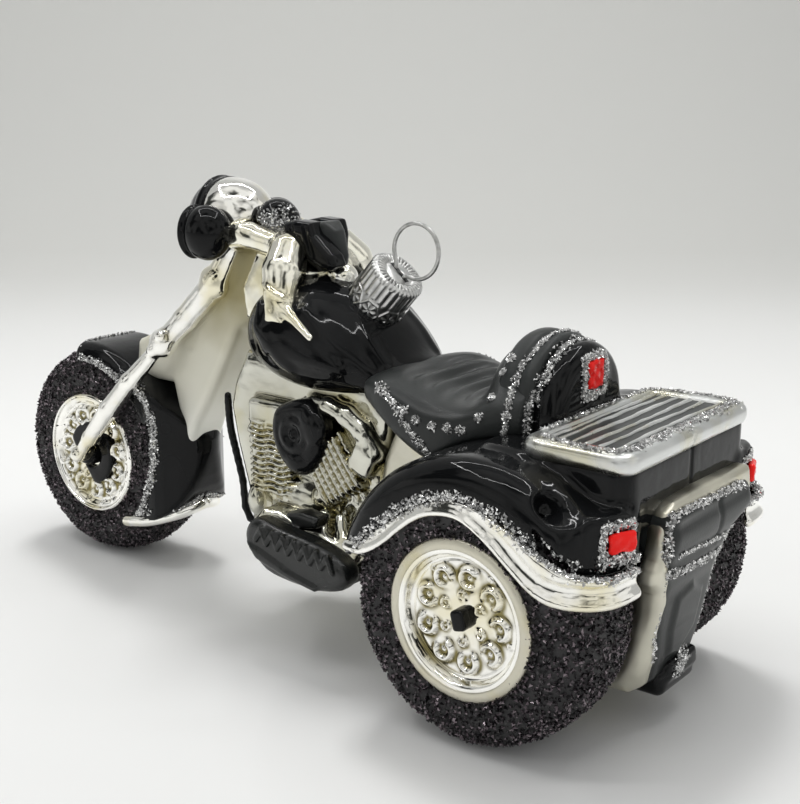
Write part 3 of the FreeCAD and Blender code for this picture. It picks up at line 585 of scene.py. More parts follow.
def fender_lip():
    """Bright lip under the mudguard: a rolled lower edge, a hollow band above it, round the rear corner."""
    f = Field(-22.9, 19.5, 12.8, 28.6, 23.2, 38.0, 0.27)
    plan = rounded_path(LIP_PLAN, 3)
    low_edge = rounded_path(LIP_LOW, 4)
    low, high = side_height(low_edge, f.x), side_height(rounded_path(LIP_HIGH, 4), f.x)
    f.add(edge_round(near_line(plan, f.x, f.y) - 0.62, np.abs(f.z - (low + high) / 2) - (high - low) / 2, 0.45))
    table = np.array(low_edge)
    roll, groove = [], []
    for i, (x, y) in enumerate(plan):
        z_low = float(np.interp(-x, -table[:, 0], table[:, 1]))
        along = x > -14
        roll.append((x, y + 0.1 if along else y, z_low + 0.75))
        ahead, back = plan[min(i + 1, len(plan) - 1)], plan[max(i - 1, 0)]
        run = math.hypot(ahead[0] - back[0], ahead[1] - back[1])
        out = (-(ahead[1] - back[1]) / run, (ahead[0] - back[0]) / run)
        if out[1] < 0 or (abs(out[1]) < 0.1 and out[0] > 0):
            out = (-out[0], -out[1])
        depth = 1.5 if along else 1.3
        groove.append((x + out[0] * depth, y + out[1] * depth, z_low + (2.0 if x > -6 else 2.4)))
    f.add(f.chain(roll, 0.78), 0.5)
    f.cut(f.chain(groove, 1.35), 0.5)
    f.cut(edge_round(f.wheel(*REAR_AXLE) - REAR_R - 0.1, np.abs(f.y - TYRE_MID) - TYRE_SIDE, 3.2))
    f.show_pair("fender_lip_left_glass", SILVER, "fender_lip_left")


def trunk_lid():
    """Lid with a pocket, thin wavy ribs across it and a dark floor under them."""
    f = Field(-22.0, -2.5, 0, 20.0, 40.0, 45.5, 0.27, both=True)
    f.add(f.slab((-12.1, 0, 42.45), (8.5, 18.7, 1.55), 3.0, 1.25))
    f.cut(f.slab((-12.0, 0, 44.5), (6.0, 15.6, 1.2), 1.6, 0.4), 0.5)
    f.cut(f.rod((-21.2, 0, 45), (-20.6, 0, 40), 0.5), 0.6)
    f.show("trunk_lid_glass", SILVER_SATIN, "trunk_lid")
    f = Field(-19.2, -4.8, 0, 16.6, 42.4, 44.4, 0.25, both=True)
    ribs = []
    for i, x in enumerate((-16.5, -14.2, -12.2, -10.0, -7.9, -6.5)):
        wave = x + 0.14 * np.sin(f.y * 0.35 + i * 1.7) + 0.05 * np.sin(f.y * 1.3 + i)
        half = 0.30 + 0.10 * np.sin(f.y * 0.3 + i * 2.1)
        rib = np.sqrt(((f.x - wave) / (half + 0.05)) ** 2 + ((f.z - 43.4) / 0.42) ** 2) * 0.36 - 0.36
        ribs.append(both(rib, np.abs(f.y) - 15.4, 0.4))
    f.add(np.minimum.reduce(ribs))
    f.show("trunk_lid_ribs", SILVER_SATIN)
    f = Field(-20.0, -4.0, 0, 17.0, 42.0, 44.2, 0.3, both=True)
    f.add(f.slab((-12.0, 0, 43.05), (6.3, 15.8, 0.42), 1.7, 0.2))
    f.show("lid_floor", SATIN)


def rear_centre():
    """Pale body between the tyres, and its frame round the rear panel, which leans as the panel does."""
    f = Field(-23.2, 30.0, -16.6, 15.6, 4.5, 41.5, 0.4)
    ring = [(-14.8, 35.6), (-2.0, 35.9), (4.1, 35.9), (8.4, 35.7), (10.6, 34.8), (11.6, 32.6), (11.9, 30.2),
            (12.2, 28.6), (13.4, 27.4), (13.2, 25.4), (11.2, 23.4), (10.0, 20.0), (9.4, 16.7), (9.0, 13.5),
            (9.0, 10.0), (7.8, 7.6), (-3.0, 7.4), (-4.4, 10.0), (-5.0, 16.0), (-5.4, 22.0), (-5.4, 26.0),
            (-9.0, 28.4), (-14.4, 29.8), (-15.4, 32.6)]
    upright = f.x
    f.x = f.x - 0.22 * np.maximum(27.0 - f.z, 0)
    f.add(f.plate(ring, -20.9, 1.6, 1.0, plane="yz"))
    f.x = upright
    side = [(-19.4, 35.0), (-19.0, 12.0), (-16.5, 6.6), (-10, 6.2), (-2, 10.0), (14, 11.5), (29.0, 13.0), (29.0, 24),
            (27.0, 33), (24, 39.5), (6, 40.0), (-8.0, 36.0)]
    plan = [(31, -9.8), (-10, -9.8), (-19.8, -5.4), (-19.8, 9.8), (31, 9.8)]
    f.add(both(f.plate(side, 0, 9.75, 2.2), outline(plan, f.x, f.y), 1.5), 1.5)
    f.show("rear_body_glass", CREAM, "rear_body")


def rear_panel():
    """Padded-looking rear panel: a two-step pillow at the top, a band, and a tapered lower part with an oval swell."""
    f = Field(-25.0, -15.0, -14.9, 12.8, 6.4, 37.2, 0.3)
    f.y = f.y + SEAM
    f.add(f.plate(spread(PANEL_SIDE, 3), 1.0, 14.5, 0.6))
    f.keep(outline(spread(PANEL_FRONT, 3), f.y, f.z), 2.2)
    swell = [(3.5, 22.6), (8.1, 21.4), (8.4, 16.0), (7.2, 11.4), (3.5, 10.4), (-0.6, 14), (-1.0, 20)]
    f.d = f.d - 0.55 * (1 - fade(outline(swell, f.y, f.z), -1.3, 0.2)) * fade(-f.x, 17.0, 18.5)
    f.d = f.d + 0.3 * np.exp(-(f.y / 0.5) ** 2) * fade(f.z, 26.5, 29.0)
    f.show("rear_panel_glass", SATIN, "rear_panel")
    f = Field(-21.5, -12.5, -9.0, 6.0, 4.0, 11.0, 0.33)
    f.add(f.box((-16.6, -0.5, 7.2), (3.1, 5.4, 2.1), 1.3))
    f.add(f.box((-18.6, -1.0, 8.8), (1.6, 4.4, 1.4), 0.8), 1.0)
    f.show("rear_foot_glass", BLACK, "rear_foot")


def lens(c, half, yaw=0.0):
    """Red lamp with a slightly pebbled face."""
    low, high = [v - h - 1 for v, h in zip(c, half)], [v + h + 1 for v, h in zip(c, half)]
    f = Field(c[0] - 2, c[0] + 2, low[1], high[1], low[2], high[2], 0.18)
    f.add(f.box(c, half, 0.5, yaw=yaw) - 0.12 * np.sin(f.y * 2.6) * np.sin(f.z * 3.1))
    return f


def tail_lamps():
    lens(TAIL_LAMP, (0.55, 2.1, 1.35), TAIL_YAW).show_pair("tail_lamp_left_lens", RED, "tail_lamp_left")


# Seat.
def seat():
    f = Field(0.4, 29.6, 0, 16.0, 33.0, 55.0, 0.32, both=True)
    f.add(f.loft([(28.8, 11.6, 42.0, 46.4, 0.62), (24.4, 13.6, 39.6, 47.2, 0.52), (19.5, 14.4, 36.6, 46.0, 0.48),
                  (14.5, 14.7, 34.8, 44.8, 0.48), (9.0, 14.2, 36.0, 45.0, 0.52), (4.0, 12.6, 37.8, 47.0, 0.62),
                  (0.8, 11.0, 39.0, 48.4, 0.8)], 1.0))
    f.cut(f.egg((16.0, 0, 49.4), (11.0, 11.5, 4.6)), 1.6)
    f.add(f.egg((4.2, 0, 44.0), (4.2, 10.8, 8.6), lean=22), 5.0)
    bow = f.x + 0.10 * f.y ** 2 / 4
    pleat = np.cos((bow - 2.0) * 2 * math.pi / 3.1) * (1 - fade(np.abs(f.y), 7.0, 11.5)) * fade(f.x, 8.5, 11)
    f.d = f.d + 0.42 * pleat * (1 - fade(f.x, 22, 25)) * fade(f.z, 38, 40)
    f.cut(np.maximum(f.wheel(*REAR_AXLE) - 22.2, 10.5 - np.abs(f.y)), 0.5)
    f.show("seat_glass", SATIN, "seat")


ARCH_HALF, ARCH_FOOT, ARCH_TALL = 11.6, 38.6, 16.8
ARCH = [(ARCH_HALF, ARCH_FOOT), (11.6, 42.0), (11.3, 46.0), (9.9, 50.4), (6.6, 53.8), (2.4, 55.4)]


def arch(grow):
    """Outline of the backrest in (y, z), moved outward by grow."""
    ring = [(y + grow * y / ARCH_HALF, z + grow * (z - ARCH_FOOT) / ARCH_TALL) for y, z in ARCH]
    return spread(ring + [(-y, z) for y, z in reversed(ring)], 4)


def backrest():
    """Padded arch in two rolls, and the glossy shell behind it with its lamp."""
    f = Field(-2.0, 13.0, 0, 13.5, 37.5, 57.0, 0.3, both=True)
    f.add(f.plate(arch(-0.9), 4.2, 1.75, 1.5, plane="yz"))
    f.add(f.plate(arch(-1.1), 1.2, 1.35, 1.1, plane="yz"), 0.45)
    f.show("backrest_glass", SATIN, "backrest")
    f = Field(-7.0, 1.0, 0, 13.0, 37.5, 56.0, 0.33, both=True)
    f.add(f.plate(arch(-2.0), -1.9, 2.6, 2.4, plane="yz"))
    f.add(f.egg((-2.9, 0, 49.0), (2.0, 4.6, 4.2)), 1.2)
    f.show("backrest_shell_glass", BLACK, "backrest_shell")
    lens(BACK_LAMP, (0.55, 2.0, 2.1)).show("backrest_lamp_lens", RED, "backrest_lamp")


# Tank, bars and head.
def tank():
    f = Field(24.5, 58.5, 0, 15.0, 38.8, 61.0, 0.36, both=True)
    f.add(f.loft([(57.6, 5.0, 46.6, 51.6, 1.0), (55.6, 8.6, 43.6, 55.0, 0.92), (51.0, 11.8, 41.4, 58.0, 0.88),
                  (45.0, 13.4, 40.2, 58.8, 0.88), (38.0, 12.6, 40.0, 57.0, 0.88), (32.0, 10.6, 40.2, 52.4, 0.92),
                  (28.0, 8.2, 40.6, 48.0, 0.95), (25.6, 5.0, 42.0, 46.6, 1.0)], 1.5))
    f.add(f.egg((42.0, 11.6, 48.6), (9.4, 2.2, 3.2), lean=-16), 1.4)
    f.cut(f.chain([(52.5, 14.2, 50.6), (44.0, 15.2, 45.6), (34.0, 13.2, 44.6)], 1.5), 1.2)
    for fold in ([(50.6, 10.6, 54.6), (49.6, 12.0, 51.6), (47.4, 12.7, 48.4)],
                 [(47.6, 12.4, 50.6), (45.2, 13.0, 47.8), (42.6, 12.6, 46.0)],
                 [(41.0, 10.6, 54.4), (36.4, 10.8, 50.6), (31.4, 9.2, 47.0), (28.4, 7.4, 44.6)],
                 [(35.0, 5.4, 53.6), (31.6, 6.6, 49.8), (28.8, 6.6, 46.8)]):
        f.add(f.chain(rounded_path(fold, 3), 0.75), 1.3)
    f.show("fuel_tank_glass", BLACK, "fuel_tank")
    f = Field(38.5, 46.0, -3.5, 3.5, 55.0, 62.5, 0.22)
    f.add(f.egg((42.4, 0, 58.7), (2.5, 2.5, 2.2), lean=-20))
    f.show("filler_cap_glass", SILVER, "filler_cap")


def headlight():
    """Silvered dome, its black band with a rolled edge, and the lens."""
    f = Field(58.0, 76.0, 0, 7.4, 60.0, 74.2, 0.28, both=True)
    dome = f.egg((67.1, 0, 67.2), (7.8, 6.5, 6.1))
    ring = edge_round(np.sqrt(f.y ** 2 + (f.z - 67.2) ** 2) - 6.35, np.abs(f.x - 69.6) - 0.45, 0.4)
    f.d = both(dome, f.x - 67.9, 0.2)
    f.show("headlight_shell_glass", SILVER, "headlight_shell")
    f.d = both(blend(dome - 0.12, ring, 0.4), 67.6 - f.x, 0.2)
    f.keep(f.x - 74.0, 0.5)
    f.show("headlight_band_glass", BLACK, "headlight_bezel")
    f = Field(72.5, 76.0, 0, 4.5, 62.5, 72.0, 0.25, both=True)
    f.add(f.egg((73.9, 0, 67.2), (1.2, 3.6, 3.6)))
    f.show("headlight_lens_glass", SILVER, "headlight_lens")


def side_lamps():
    """Round lamp beside the headlight with its lens, and the instrument pod behind them."""
    f = Field(59.5, 69.5, 3.8, 13.2, 59.5, 70.2, 0.25)
    flat = np.sqrt((f.y - 8.5) ** 2 + ((f.z - 64.8) / 1.14) ** 2)
    f.add(f.egg((64.6, 8.5, 64.8), (4.3, 3.9, 4.6)))
    f.keep(f.x - 67.6, 0.2)
    f.add(edge_round(flat - 4.0, np.abs(f.x - 67.4) - 0.42, 0.38), 0.5)
    f.show_pair("lamp_left_glass", BLACK, "lamp_left")
    f = Field(66.0, 69.6, 4.6, 12.4, 60.6, 69.0, 0.25)
    f.add(f.egg((67.5, 8.5, 64.8), (0.9, 3.2, 3.6)))
    f.show_pair("lamp_left_lens", SILVER)
    f = Field(52.0, 61.5, 0, 4.8, 62.0, 71.5, 0.28, both=True)
    f.add(f.egg((56.4, 0, 66.6), (3.9, 3.6, 3.7), lean=-20))
    f.show("instrument_pod_glass", BLACK, "instrument_pod")


def bars():
    """Silvered handlebar that lies on the tank's shoulders, with its clamps and the steering head."""
    f = Field(36.8, 65.5, 0, 14.4, 46.4, 68.5, 0.3, both=True)
    f.add(f.plate([(44.6, 59.6), (50, 63.6), (56.4, 63.6), (61, 56), (60, 50), (52, 49), (46, 55)], 0, 5.6, 2.2))
    f.add(f.chain([(50.6, 4.2, 63.8), (48.6, 6.4, 62.6), (47.6, 8.6, 60.0), (46.8, 10.0, 56.6)], [2.2, 2.5, 2.9, 2.8],
                  2.0), 1.6)
    f.add(f.egg((46.2, 11.0, 53.8), (2.9, 2.0, 2.6), lean=35), 1.2)
    for root, tip in (((46.4, 11.6, 54.0), (40.7, 12.9, 49.9)), ((47.2, 11.6, 52.4), (43.6, 13.1, 48.0)),
                      ((45.4, 11.4, 55.2), (38.4, 12.6, 51.0)), ((47.8, 11.2, 51.8), (46.6, 12.8, 47.8))):
        f.add(f.rod(root, tip, 1.15, 0.6), 0.7)
    f.add(f.egg((46.8, 10.2, 56.8), (3.6, 3.0, 0.95), lean=-24, roll=18), 0.35)
    f.add(f.chain([(52.5, 4.8, 63.4), (57.6, 5.6, 64.6), (62.2, 5.9, 64.2)], [2.0, 2.1, 1.9], 0.6), 0.8)
    f.add(f.egg((58.6, 6.6, 65.2), (1.7, 1.4, 1.5)), 0.5)
    f.show("handlebar_glass", SILVER_WARM, "handlebar")


def grips():
    """Black lever housings, the right one shorter, and the cowl between them."""
    f = Field(39.0, 53.0, 0.1, 6.0, 58.0, 69.2, 0.22)
    f.add(f.plate([(51.4, 67.0), (48.6, 67.6), (45.4, 67.4), (44.6, 65.6), (41.0, 62.6), (40.2, 60.8), (41.6, 60.0),
                   (45.6, 61.2), (50.2, 62.8)], 2.9, 1.9, 1.0))
    f.add(f.rod((50.2, 2.6, 64.6), (43.0, 3.0, 61.8), 1.5, 1.0), 0.5)
    f.cut(f.rod((46.4, 4.9, 66.6), (44.8, 5.0, 62.4), 0.4), 0.4)
    f.cut(f.rod((49.2, 5.0, 66.4), (48.0, 5.0, 63.6), 0.35), 0.4)
    f.show("grip_left_glass", BLACK, "grip_left")
    f.keep(44.8 - f.x, 0.8)
    short = f.mesh("grip_short")
    dress(mirror_copy(short, "grip_right_glass"), BLACK, "grip_right")
    bpy.data.objects.remove(short)
    f = Field(38.0, 53.5, 0, 4.4, 57.5, 69.0, 0.27, both=True)
    side = [(50.0, 66.8), (44.6, 67.4), (42.8, 66.0), (41.2, 62.0), (41.8, 60.0), (45.0, 60.0), (50.6, 62.4)]
    taper = [(52.0, 3.5), (47.5, 3.2), (44.5, 2.2), (41.0, 0.4), (41.0, -0.4), (44.5, -2.2), (47.5, -3.2), (52.0, -3.5)]
    f.add(f.plate(side, 0, 3.3, 1.2))
    f.keep(outline(taper, f.x, f.y), 0.8)
    f.show("dash_cowl_glass", (SATIN[0], "black_lacquer"), "dash_cowl")


# Engine.
def teeth(along, pitch, deep):
    """Fins: a distance offset that repeats along a direction."""
    return -deep * np.tanh(2.2 * np.cos(2 * math.pi * along / pitch))


def engine():
    f = Field(24.5, 66.8, 0, 16.4, 11.5, 47.0, 0.3, both=True)
    outer = fade(np.abs(f.y), 6.5, 8.5)
    f.add(f.plate([(30, 18.2), (29.5, 13.4), (50, 13.4), (56.6, 15.4), (57.6, 22), (59.8, 29.5), (61.2, 36.0),
                   (60.0, 40.5), (57, 46), (30, 44), (26, 40), (27.5, 30), (29, 22)], 0, 8.6, 2.2))
    # Front cylinder: head block, wavy level fins and a column of knobs ahead of them.
    f.add(f.box((49.6, 0, 36.6), (4.6, 11.0, 2.3), 1.0), 0.7)
    level = f.z + 0.18 * np.sin(f.x * 1.5) + (f.x - 50) * 0.06
    f.add(f.box((49.6, 0, 29.4), (4.6, 10.8, 6.4), 1.2) + teeth(level, 0.98, 0.30) * outer, 0.6)
    for i in range(6):
        f.add(f.egg((53.8 - 0.55 * i, 9.8, 33.4 - 1.75 * i), (1.0, 1.2, 0.75), lean=20 * (-1) ** i), 0.4)
    # Rear cylinder: a fan of slanted fins.
    far = (f.x - 36.2) * -0.817 + (f.z - 29.4) * 0.577
    near = (f.x - 36.2) * 0.577 + (f.z - 29.4) * 0.817
    fan = edge_round(np.maximum(np.abs(far) - 4.6, np.abs(near) - 4.6), np.abs(f.y) - 10.9, 0.9)
    f.add(fan + teeth(far + 0.03 * near * far * 0.3, 1.25, 0.34) * outer, 0.6)
    # Arm behind the oval cover, the box under it, and the hollow beside it.
    f.add(f.chain([(41.0, 9.2, 39.6), (37.0, 10.2, 39.8), (33.4, 10.2, 38.9), (30.6, 9.6, 36.8), (28.4, 8.8, 33.4)],
                  [1.3, 1.5, 1.6, 1.7, 1.5], 0.5), 0.8)
    f.add(f.box((30.2, 9.0, 32.2), (2.2, 2.0, 2.4), 0.9, lean=-25), 0.8)
    f.cut(f.egg((33.4, 11.2, 35.9), (1.5, 1.4, 1.1), lean=20), 0.6)
    # Smooth belly and its lobes.
    f.add(f.egg((44.0, 7.6, 22.6), (8.6, 3.4, 3.6), lean=-4), 1.2)
    for c, r in (((48.2, 9.4, 21.2), (1.7, 1.8, 1.7)), ((46.4, 9.8, 18.8), (1.5, 1.7, 1.5)),
                 ((44.4, 9.8, 16.8), (1.6, 1.7, 1.4)), ((45.4, 9.2, 23.0), (1.5, 1.6, 1.3)),
                 ((38.4, 9.4, 24.6), (2.2, 1.9, 1.7)), ((54.6, 8.6, 20.6), (1.6, 1.6, 2.8))):
        f.add(f.egg(c, r), 0.5)
    # Curls over the pipes, and the two pipes.
    for x, z, turn in ((32.4, 23.6, 0.2), (29.8, 22.2, 1.4), (31.2, 25.6, 2.2), (33.6, 21.6, 3.0), (28.6, 19.4, 0.9)):
        angles = [turn + k * 0.85 for k in range(6)]
        f.add(f.chain([(x + 1.15 * math.cos(t), 9.6, z + 1.15 * math.sin(t)) for t in angles], 0.62), 0.3)
    f.add(f.egg((31.4, 8.4, 22.6), (3.8, 1.6, 4.4)), 0.6)
    for pipe in ([(36.4, 12.0, 22.6), (35.6, 13.4, 20.4), (33.2, 14.2, 18.6), (30.0, 13.8, 17.0)],
                 [(33.4, 11.6, 22.4), (32.2, 12.8, 20.6), (30.2, 13.2, 19.2), (27.8, 12.6, 17.6)]):
        f.add(f.chain(rounded_path(pipe, 3), 0.95, 0.3), 0.35)
    # Small side panel, and the wavy sump skirt.
    f.add(f.plate([(42.0, 19.0), (34.6, 20.9), (34.6, 17.1), (39.6, 16.2), (41.8, 17.0)], 9.8, 1.6, 0.5), 0.4)
    skirt = [(49.8, 19.6), (47.2, 22.4), (38.4, 21.2), (31.2, 20.0), (28.0, 17.6), (28.4, 14.0), (47.0, 15.0)]
    f.add(f.plate(skirt, 11.7, 3.6, 1.4) + 0.3 * np.sin(f.x * 0.9) * np.sin(f.y * 0.8 + 1.0), 0.8)
    f.show("engine_glass", SILVER_GREY, "engine_case", "cylinder_front", "cylinder_rear")


OVAL = [(47.5, 35.6), (46.6, 38.4), (43.4, 40.1), (40.2, 40.6), (37.4, 39.3), (36.5, 36.2), (37.2, 32.2), (39.3, 29.1),
        (41.3, 28.0), (43.8, 28.5), (46.0, 30.7), (47.2, 33.2)]
EYE_X, EYE_Z, EYE_R = 42.3, 34.9, 3.4


def oval_cover():
    """Egg-shaped cover with a ringed eye, a glossy lobe behind it and a chin below."""
    f = Field(34.5, 49.0, 7.4, 14.4, 26.4, 42.4, 0.22)
    f.add(f.plate(OVAL, 10.7, 2.2, 1.7, smooth=4))
    r = f.wheel(EYE_X, EYE_Z)
    f.d = f.d - np.where(r < EYE_R, 0.42 * np.cos(r / EYE_R * math.pi * 3.0) * (1 - r / (EYE_R + 1.0)), 0.0)
    f.add(f.egg((38.4, 12.2, 36.6), (2.6, 1.3, 2.6), lean=-25), 0.7)
    f.add(f.egg((41.8, 12.4, 30.4), (1.9, 0.9, 1.3)), 0.7)
    f.show_pair("horn_cover_glass", BLACK, "horn_cover", twin_nodes=["air_cleaner"], twin_name="air_cleaner_glass")


def frame_tube():
    f = Field(46.0, 67.5, 3.0, 7.2, 10.4, 44.5, 0.28)
    side = ((64.6, 36.4), (64.4, 33.0), (64.0, 30.1), (63.0, 26.7), (61.5, 21.5), (60.0, 15.0), (50.0, 12.4))
    f.add(f.chain(rounded_path([(x, 5.0, z) for x, z in side], 3), 0.62, 0.3))
    f.show_pair("frame_tube_left_glass", BLACK, "frame_tube_left")


def floorboard():
    """Ribbed board with a zigzag coil tread along its outer face, a lower lip and a slot."""
    f = Field(25.2, 50.6, 7.8, 22.4, 10.6, 24.6, 0.27)
    under = [(31.0, 13.2), (37.1, 13.1), (42.5, 13.9)]
    f.add(f.plate([(47.0, 19.4), (45.8, 21.6), (43.6, 22.2), (38.0, 21.3), (31.0, 20.4), (26.6, 18.6), (25.6, 16.2),
                   (27.4, 14.2)] + under + [(46.2, 17.0)], 17.7, 2.2, 1.5, smooth=3))
    f.add(f.plate([(46.0, 17.0), (38.0, 16.6), (31.0, 16.0), (26.6, 15.6), (27.4, 14.2)] + under, 13.6, 5.6, 1.0), 0.6)
    f.add(f.plate([(46.2, 18.2), (44.0, 15.8), (37.0, 14.0), (31.6, 13.2), (31.0, 14.2), (36.0, 15.2), (43.4, 17.6)],
                  15.8, 4.6, 0.6), 0.4)
    zig = []
    for i in range(15):
        zig.append((43.9 - 1.14 * i, 20.1 - 0.2 * (i % 2), 21.2 - 0.13 * i - (0.0 if i % 2 else 2.1)))
    f.add(f.chain(zig, 0.5), 0.15)
    f.cut(f.rod((38.0, 20.7, 15.7), (30.0, 20.7, 15.3), 0.55), 0.3)
    f.add(f.plate([(41.8, 22.6), (38.6, 23.4), (34.8, 23.2), (35.2, 21.4), (39.6, 20.4)], 14.0, 1.7, 0.6), 0.3)
    f.show_pair("floorboard_left_glass", SATIN_DEEP, "floorboard_left")


# Fork and front mudguard.
def fork_leg():
    f = Field(60.0, 102.5, 0.8, 12.8, 18.0, 64.8, 0.3)
    f.add(f.chain([(63.8, 3.6, 61.6), (67.4, 4.4, 55.4), (73.8, 5.8, 48.8), (77.4, 7.2, 44.9)], [1.9, 2.5, 2.1, 2.0],
                  0.6))
    f.add(f.egg((67.2, 4.5, 55.8), (3.1, 2.6, 2.6), lean=-45), 0.5)
    for t in (-1.1, 0.0, 1.1):
        f.add(f.egg((67.0 - t * 0.7, 6.2, 55.8 + t * 0.9), (1.6, 1.1, 0.6), lean=40), 0.3)
    f.add(f.egg((77.7, 7.6, 44.4), (2.6, 2.3, 2.6), lean=-40), 0.7)
    f.add(f.egg((76.4, 9.2, 46.0), (1.3, 1.0, 1.1)), 0.4)
    f.add(f.egg((78.6, 9.3, 43.2), (1.2, 0.9, 1.2)), 0.4)
    f.add(f.chain([(78.6, 8.0, 43.4), (84.6, 9.8, 36.8), (90.0, 10.3, 31.0), (96.0, 10.3, 24.4), (99.4, 10.0, 20.9)],
                  [1.2, 1.7, 1.85, 1.5, 1.1], 0.5), 0.7)
    f.add(f.rod((99.4, 7.9, 20.7), (99.4, 10.6, 20.7), 1.5), 0.4)
    f.show_pair("fork_left_glass", SILVER, "fork_left")


def web():
    f = Field(52.5, 92.0, 0, 5.4, 21.0, 65.0, 0.36, both=True)
    side = [(54.8, 62.4), (60, 63.4), (66, 61.5), (74, 53), (82, 46), (89, 43), (90, 36), (80, 36), (76.6, 22.5),
            (73.8, 29.1), (70.5, 34.1), (66.2, 41.6), (61.8, 50)]
    f.add(f.plate(side, 0, 4.2, 1.8))
    f.add(f.rod((57.0, 0, 62.6), (62.4, 0, 52.0), 4.4), 1.5)
    f.show("fork_web_glass", WEB, "fork_web")


def front_guard():
    """Mudguard close over the tyre, with the boat-shaped skirt behind it and the skirt's bright rim."""
    f = Field(72.5, 107.0, 0, 9.3, 7.0, 42.6, 0.33, both=True)
    r = f.wheel(*FRONT_AXLE)
    f.add(edge_round(np.abs(f.y) - 8.35, r - 21.45, 3.0))
    f.keep(outline([(98.0, 18.0), (101.9, 41.0), (103, 50), (80, 50), (70, 38.0)], f.x, f.z), 0.6)
    f.keep(18.4 - r, 0.5)
    side = [(91.0, 37.6), (86.0, 37.0), (80.0, 33.6), (76.0, 29.4), (74.0, 25.6), (74.4, 21.4), (75.9, 16.4),
            (78.0, 13.0), (80.4, 11.2), (84.0, 9.8), (89.4, 8.4), (87.4, 10.2), (85.6, 12.4), (84.0, 16.1),
            (82.6, 20.0), (82.1, 25.0), (82.4, 29.0), (83.8, 33.0), (86.2, 35.0)]
    plan = [(95, 8.4), (81.0, 8.4), (79.3, 7.7), (77.2, 5.6), (75.2, 3.0), (73.2, 0.0)]
    plan += [(x, -y) for x, y in reversed(plan[:-1])]
    f.add(both(f.plate(spread(side, 2), 0, 9.5, 0.8), outline(plan, f.x, f.y), 0.8), 1.0)
    f.cut(np.maximum(r - FRONT_R - 0.15, np.abs(f.y) - FRONT_HALF - 0.1))
    f.show("front_fender_glass", BLACK, "front_fender")
    f = Field(74.0, 91.8, 0, 9.6, 6.8, 16.2, 0.26, both=True)
    rim = [(90.0, 7.3, 8.6), (86.8, 7.7, 9.4), (83.2, 7.3, 10.3), (79.8, 5.2, 11.4), (78.0, 3.2, 12.2),
           (76.9, 0.6, 13.0)]
    f.add(f.chain(rounded_path(rim, 3), 1.15))
    f.show("front_fender_lip", SILVER)


for make in (rear_shell, fender_lip, trunk_lid, rear_centre, rear_panel, tail_lamps, seat, backrest, tank, headlight,
             side_lamps, bars, grips, engine, oval_cover, frame_tube, floorboard, fork_leg, web, front_guard):
    make()


# Turned forms.
def ring_angles(turns):
    return np.arange(turns) * 2 * math.pi / turns


def skin(turns, rows, turn_step, row_step, closed):
    """Faces between neighbouring rows that run all the way round. The steps say how far apart the points are listed."""
    here = np.arange(turns) * turn_step
    there = np.roll(here, -1)
    faces = []
    for k in range(rows if closed else rows - 1):
        a, b = k * row_step, (k + 1) % rows * row_step
        faces.append(np.stack([here + a, here + b, there + b, there + a], axis=1))
    return np.vstack(faces)


def lathe(name, profile, axle, turns):
    """Turned closed form about a wheel's axle: profile is a ring of (radius, y)."""
    profile = np.array(profile, float)
    a = ring_angles(turns)[:, None]
    r, y = profile[:, 0][None, :], profile[:, 1][None, :]
    pts = np.stack([axle[0] + r * np.cos(a), y + 0 * a, axle[1] + r * np.sin(a)], axis=-1).reshape(-1, 3)
    n = len(profile)
    return clean(solid(name, pts, skin(turns, n, n, 1, True)))


# Wheels.
CROWN = 0.7


def tyre_profile(radius, y0, y1, soft):
    """Half section of a tyre as (radius, y): two walls, rounded shoulders and a slightly crowned tread."""
    out = [(RIM_R, y0), (radius - soft - 1.2, y0)]
    for i in range(1, 7):
        a = math.radians(90 * i / 6)
        out.append((radius - soft - CROWN + soft * math.sin(a), y0 + soft - soft * math.cos(a)))
    for i in range(1, 8):
        t = i / 8
        out.append((radius - CROWN * (2 * t - 1) ** 4, y0 + soft + (y1 - y0 - 2 * soft) * t))
    for i in range(7):
        a = math.radians(90 * (6 - i) / 6)
        out.append((radius - soft - CROWN + soft * math.sin(a), y1 - soft + soft * math.cos(a)))
    return out + [(radius - soft - 1.2, y1), (RIM_R, y1)]


def crumbs(name, points, normals, size, seed, lift, flat=0.55):
    """A closed little crumb at each point, each turned its own way."""
    rng = np.random.default_rng(seed)
    n = len(points)
    base = np.array([[1, 0, -0.4], [-0.5, 0.87, -0.4], [-0.5, -0.87, -0.4], [0, 0, 1.1]], float)
    base[:, 2] *= flat
    q = rng.normal(size=(n, 4))
    q /= np.linalg.norm(q, axis=1)[:, None]
    w, x, y, z = q.T
    rot = np.stack([1 - 2 * (y * y + z * z), 2 * (x * y - z * w), 2 * (x * z + y * w),
                    2 * (x * y + z * w), 1 - 2 * (x * x + z * z), 2 * (y * z - x * w),
                    2 * (x * z - y * w), 2 * (y * z + x * w), 1 - 2 * (x * x + y * y)], axis=1).reshape(n, 3, 3)
    s = size * rng.uniform(0.55, 1.15, n)
    local = np.einsum("nij,kj->nki", rot, base) * s[:, None, None]
    centre = points + normals * (lift * rng.random(n))[:, None]
    verts = (local + centre[:, None, :]).reshape(-1, 3)
    tris = np.array([(0, 1, 3), (1, 2, 3), (2, 0, 3), (0, 2, 1)])
    faces = (tris[None] + (np.arange(n) * 4)[:, None, None]).reshape(-1, 3)
    obj = solid(name, verts, faces)
    obj.data.polygons.foreach_set("use_smooth", np.zeros(len(faces), bool))
    return obj


SUNK = 0.30


def tyre_ground(name, radius, y0, y1, soft, axle):
    """The plain dark tyre under the glitter."""
    return lathe(name, tyre_profile(radius - SUNK, y0 + 0.25, y1 - 0.25, soft), axle, 120)


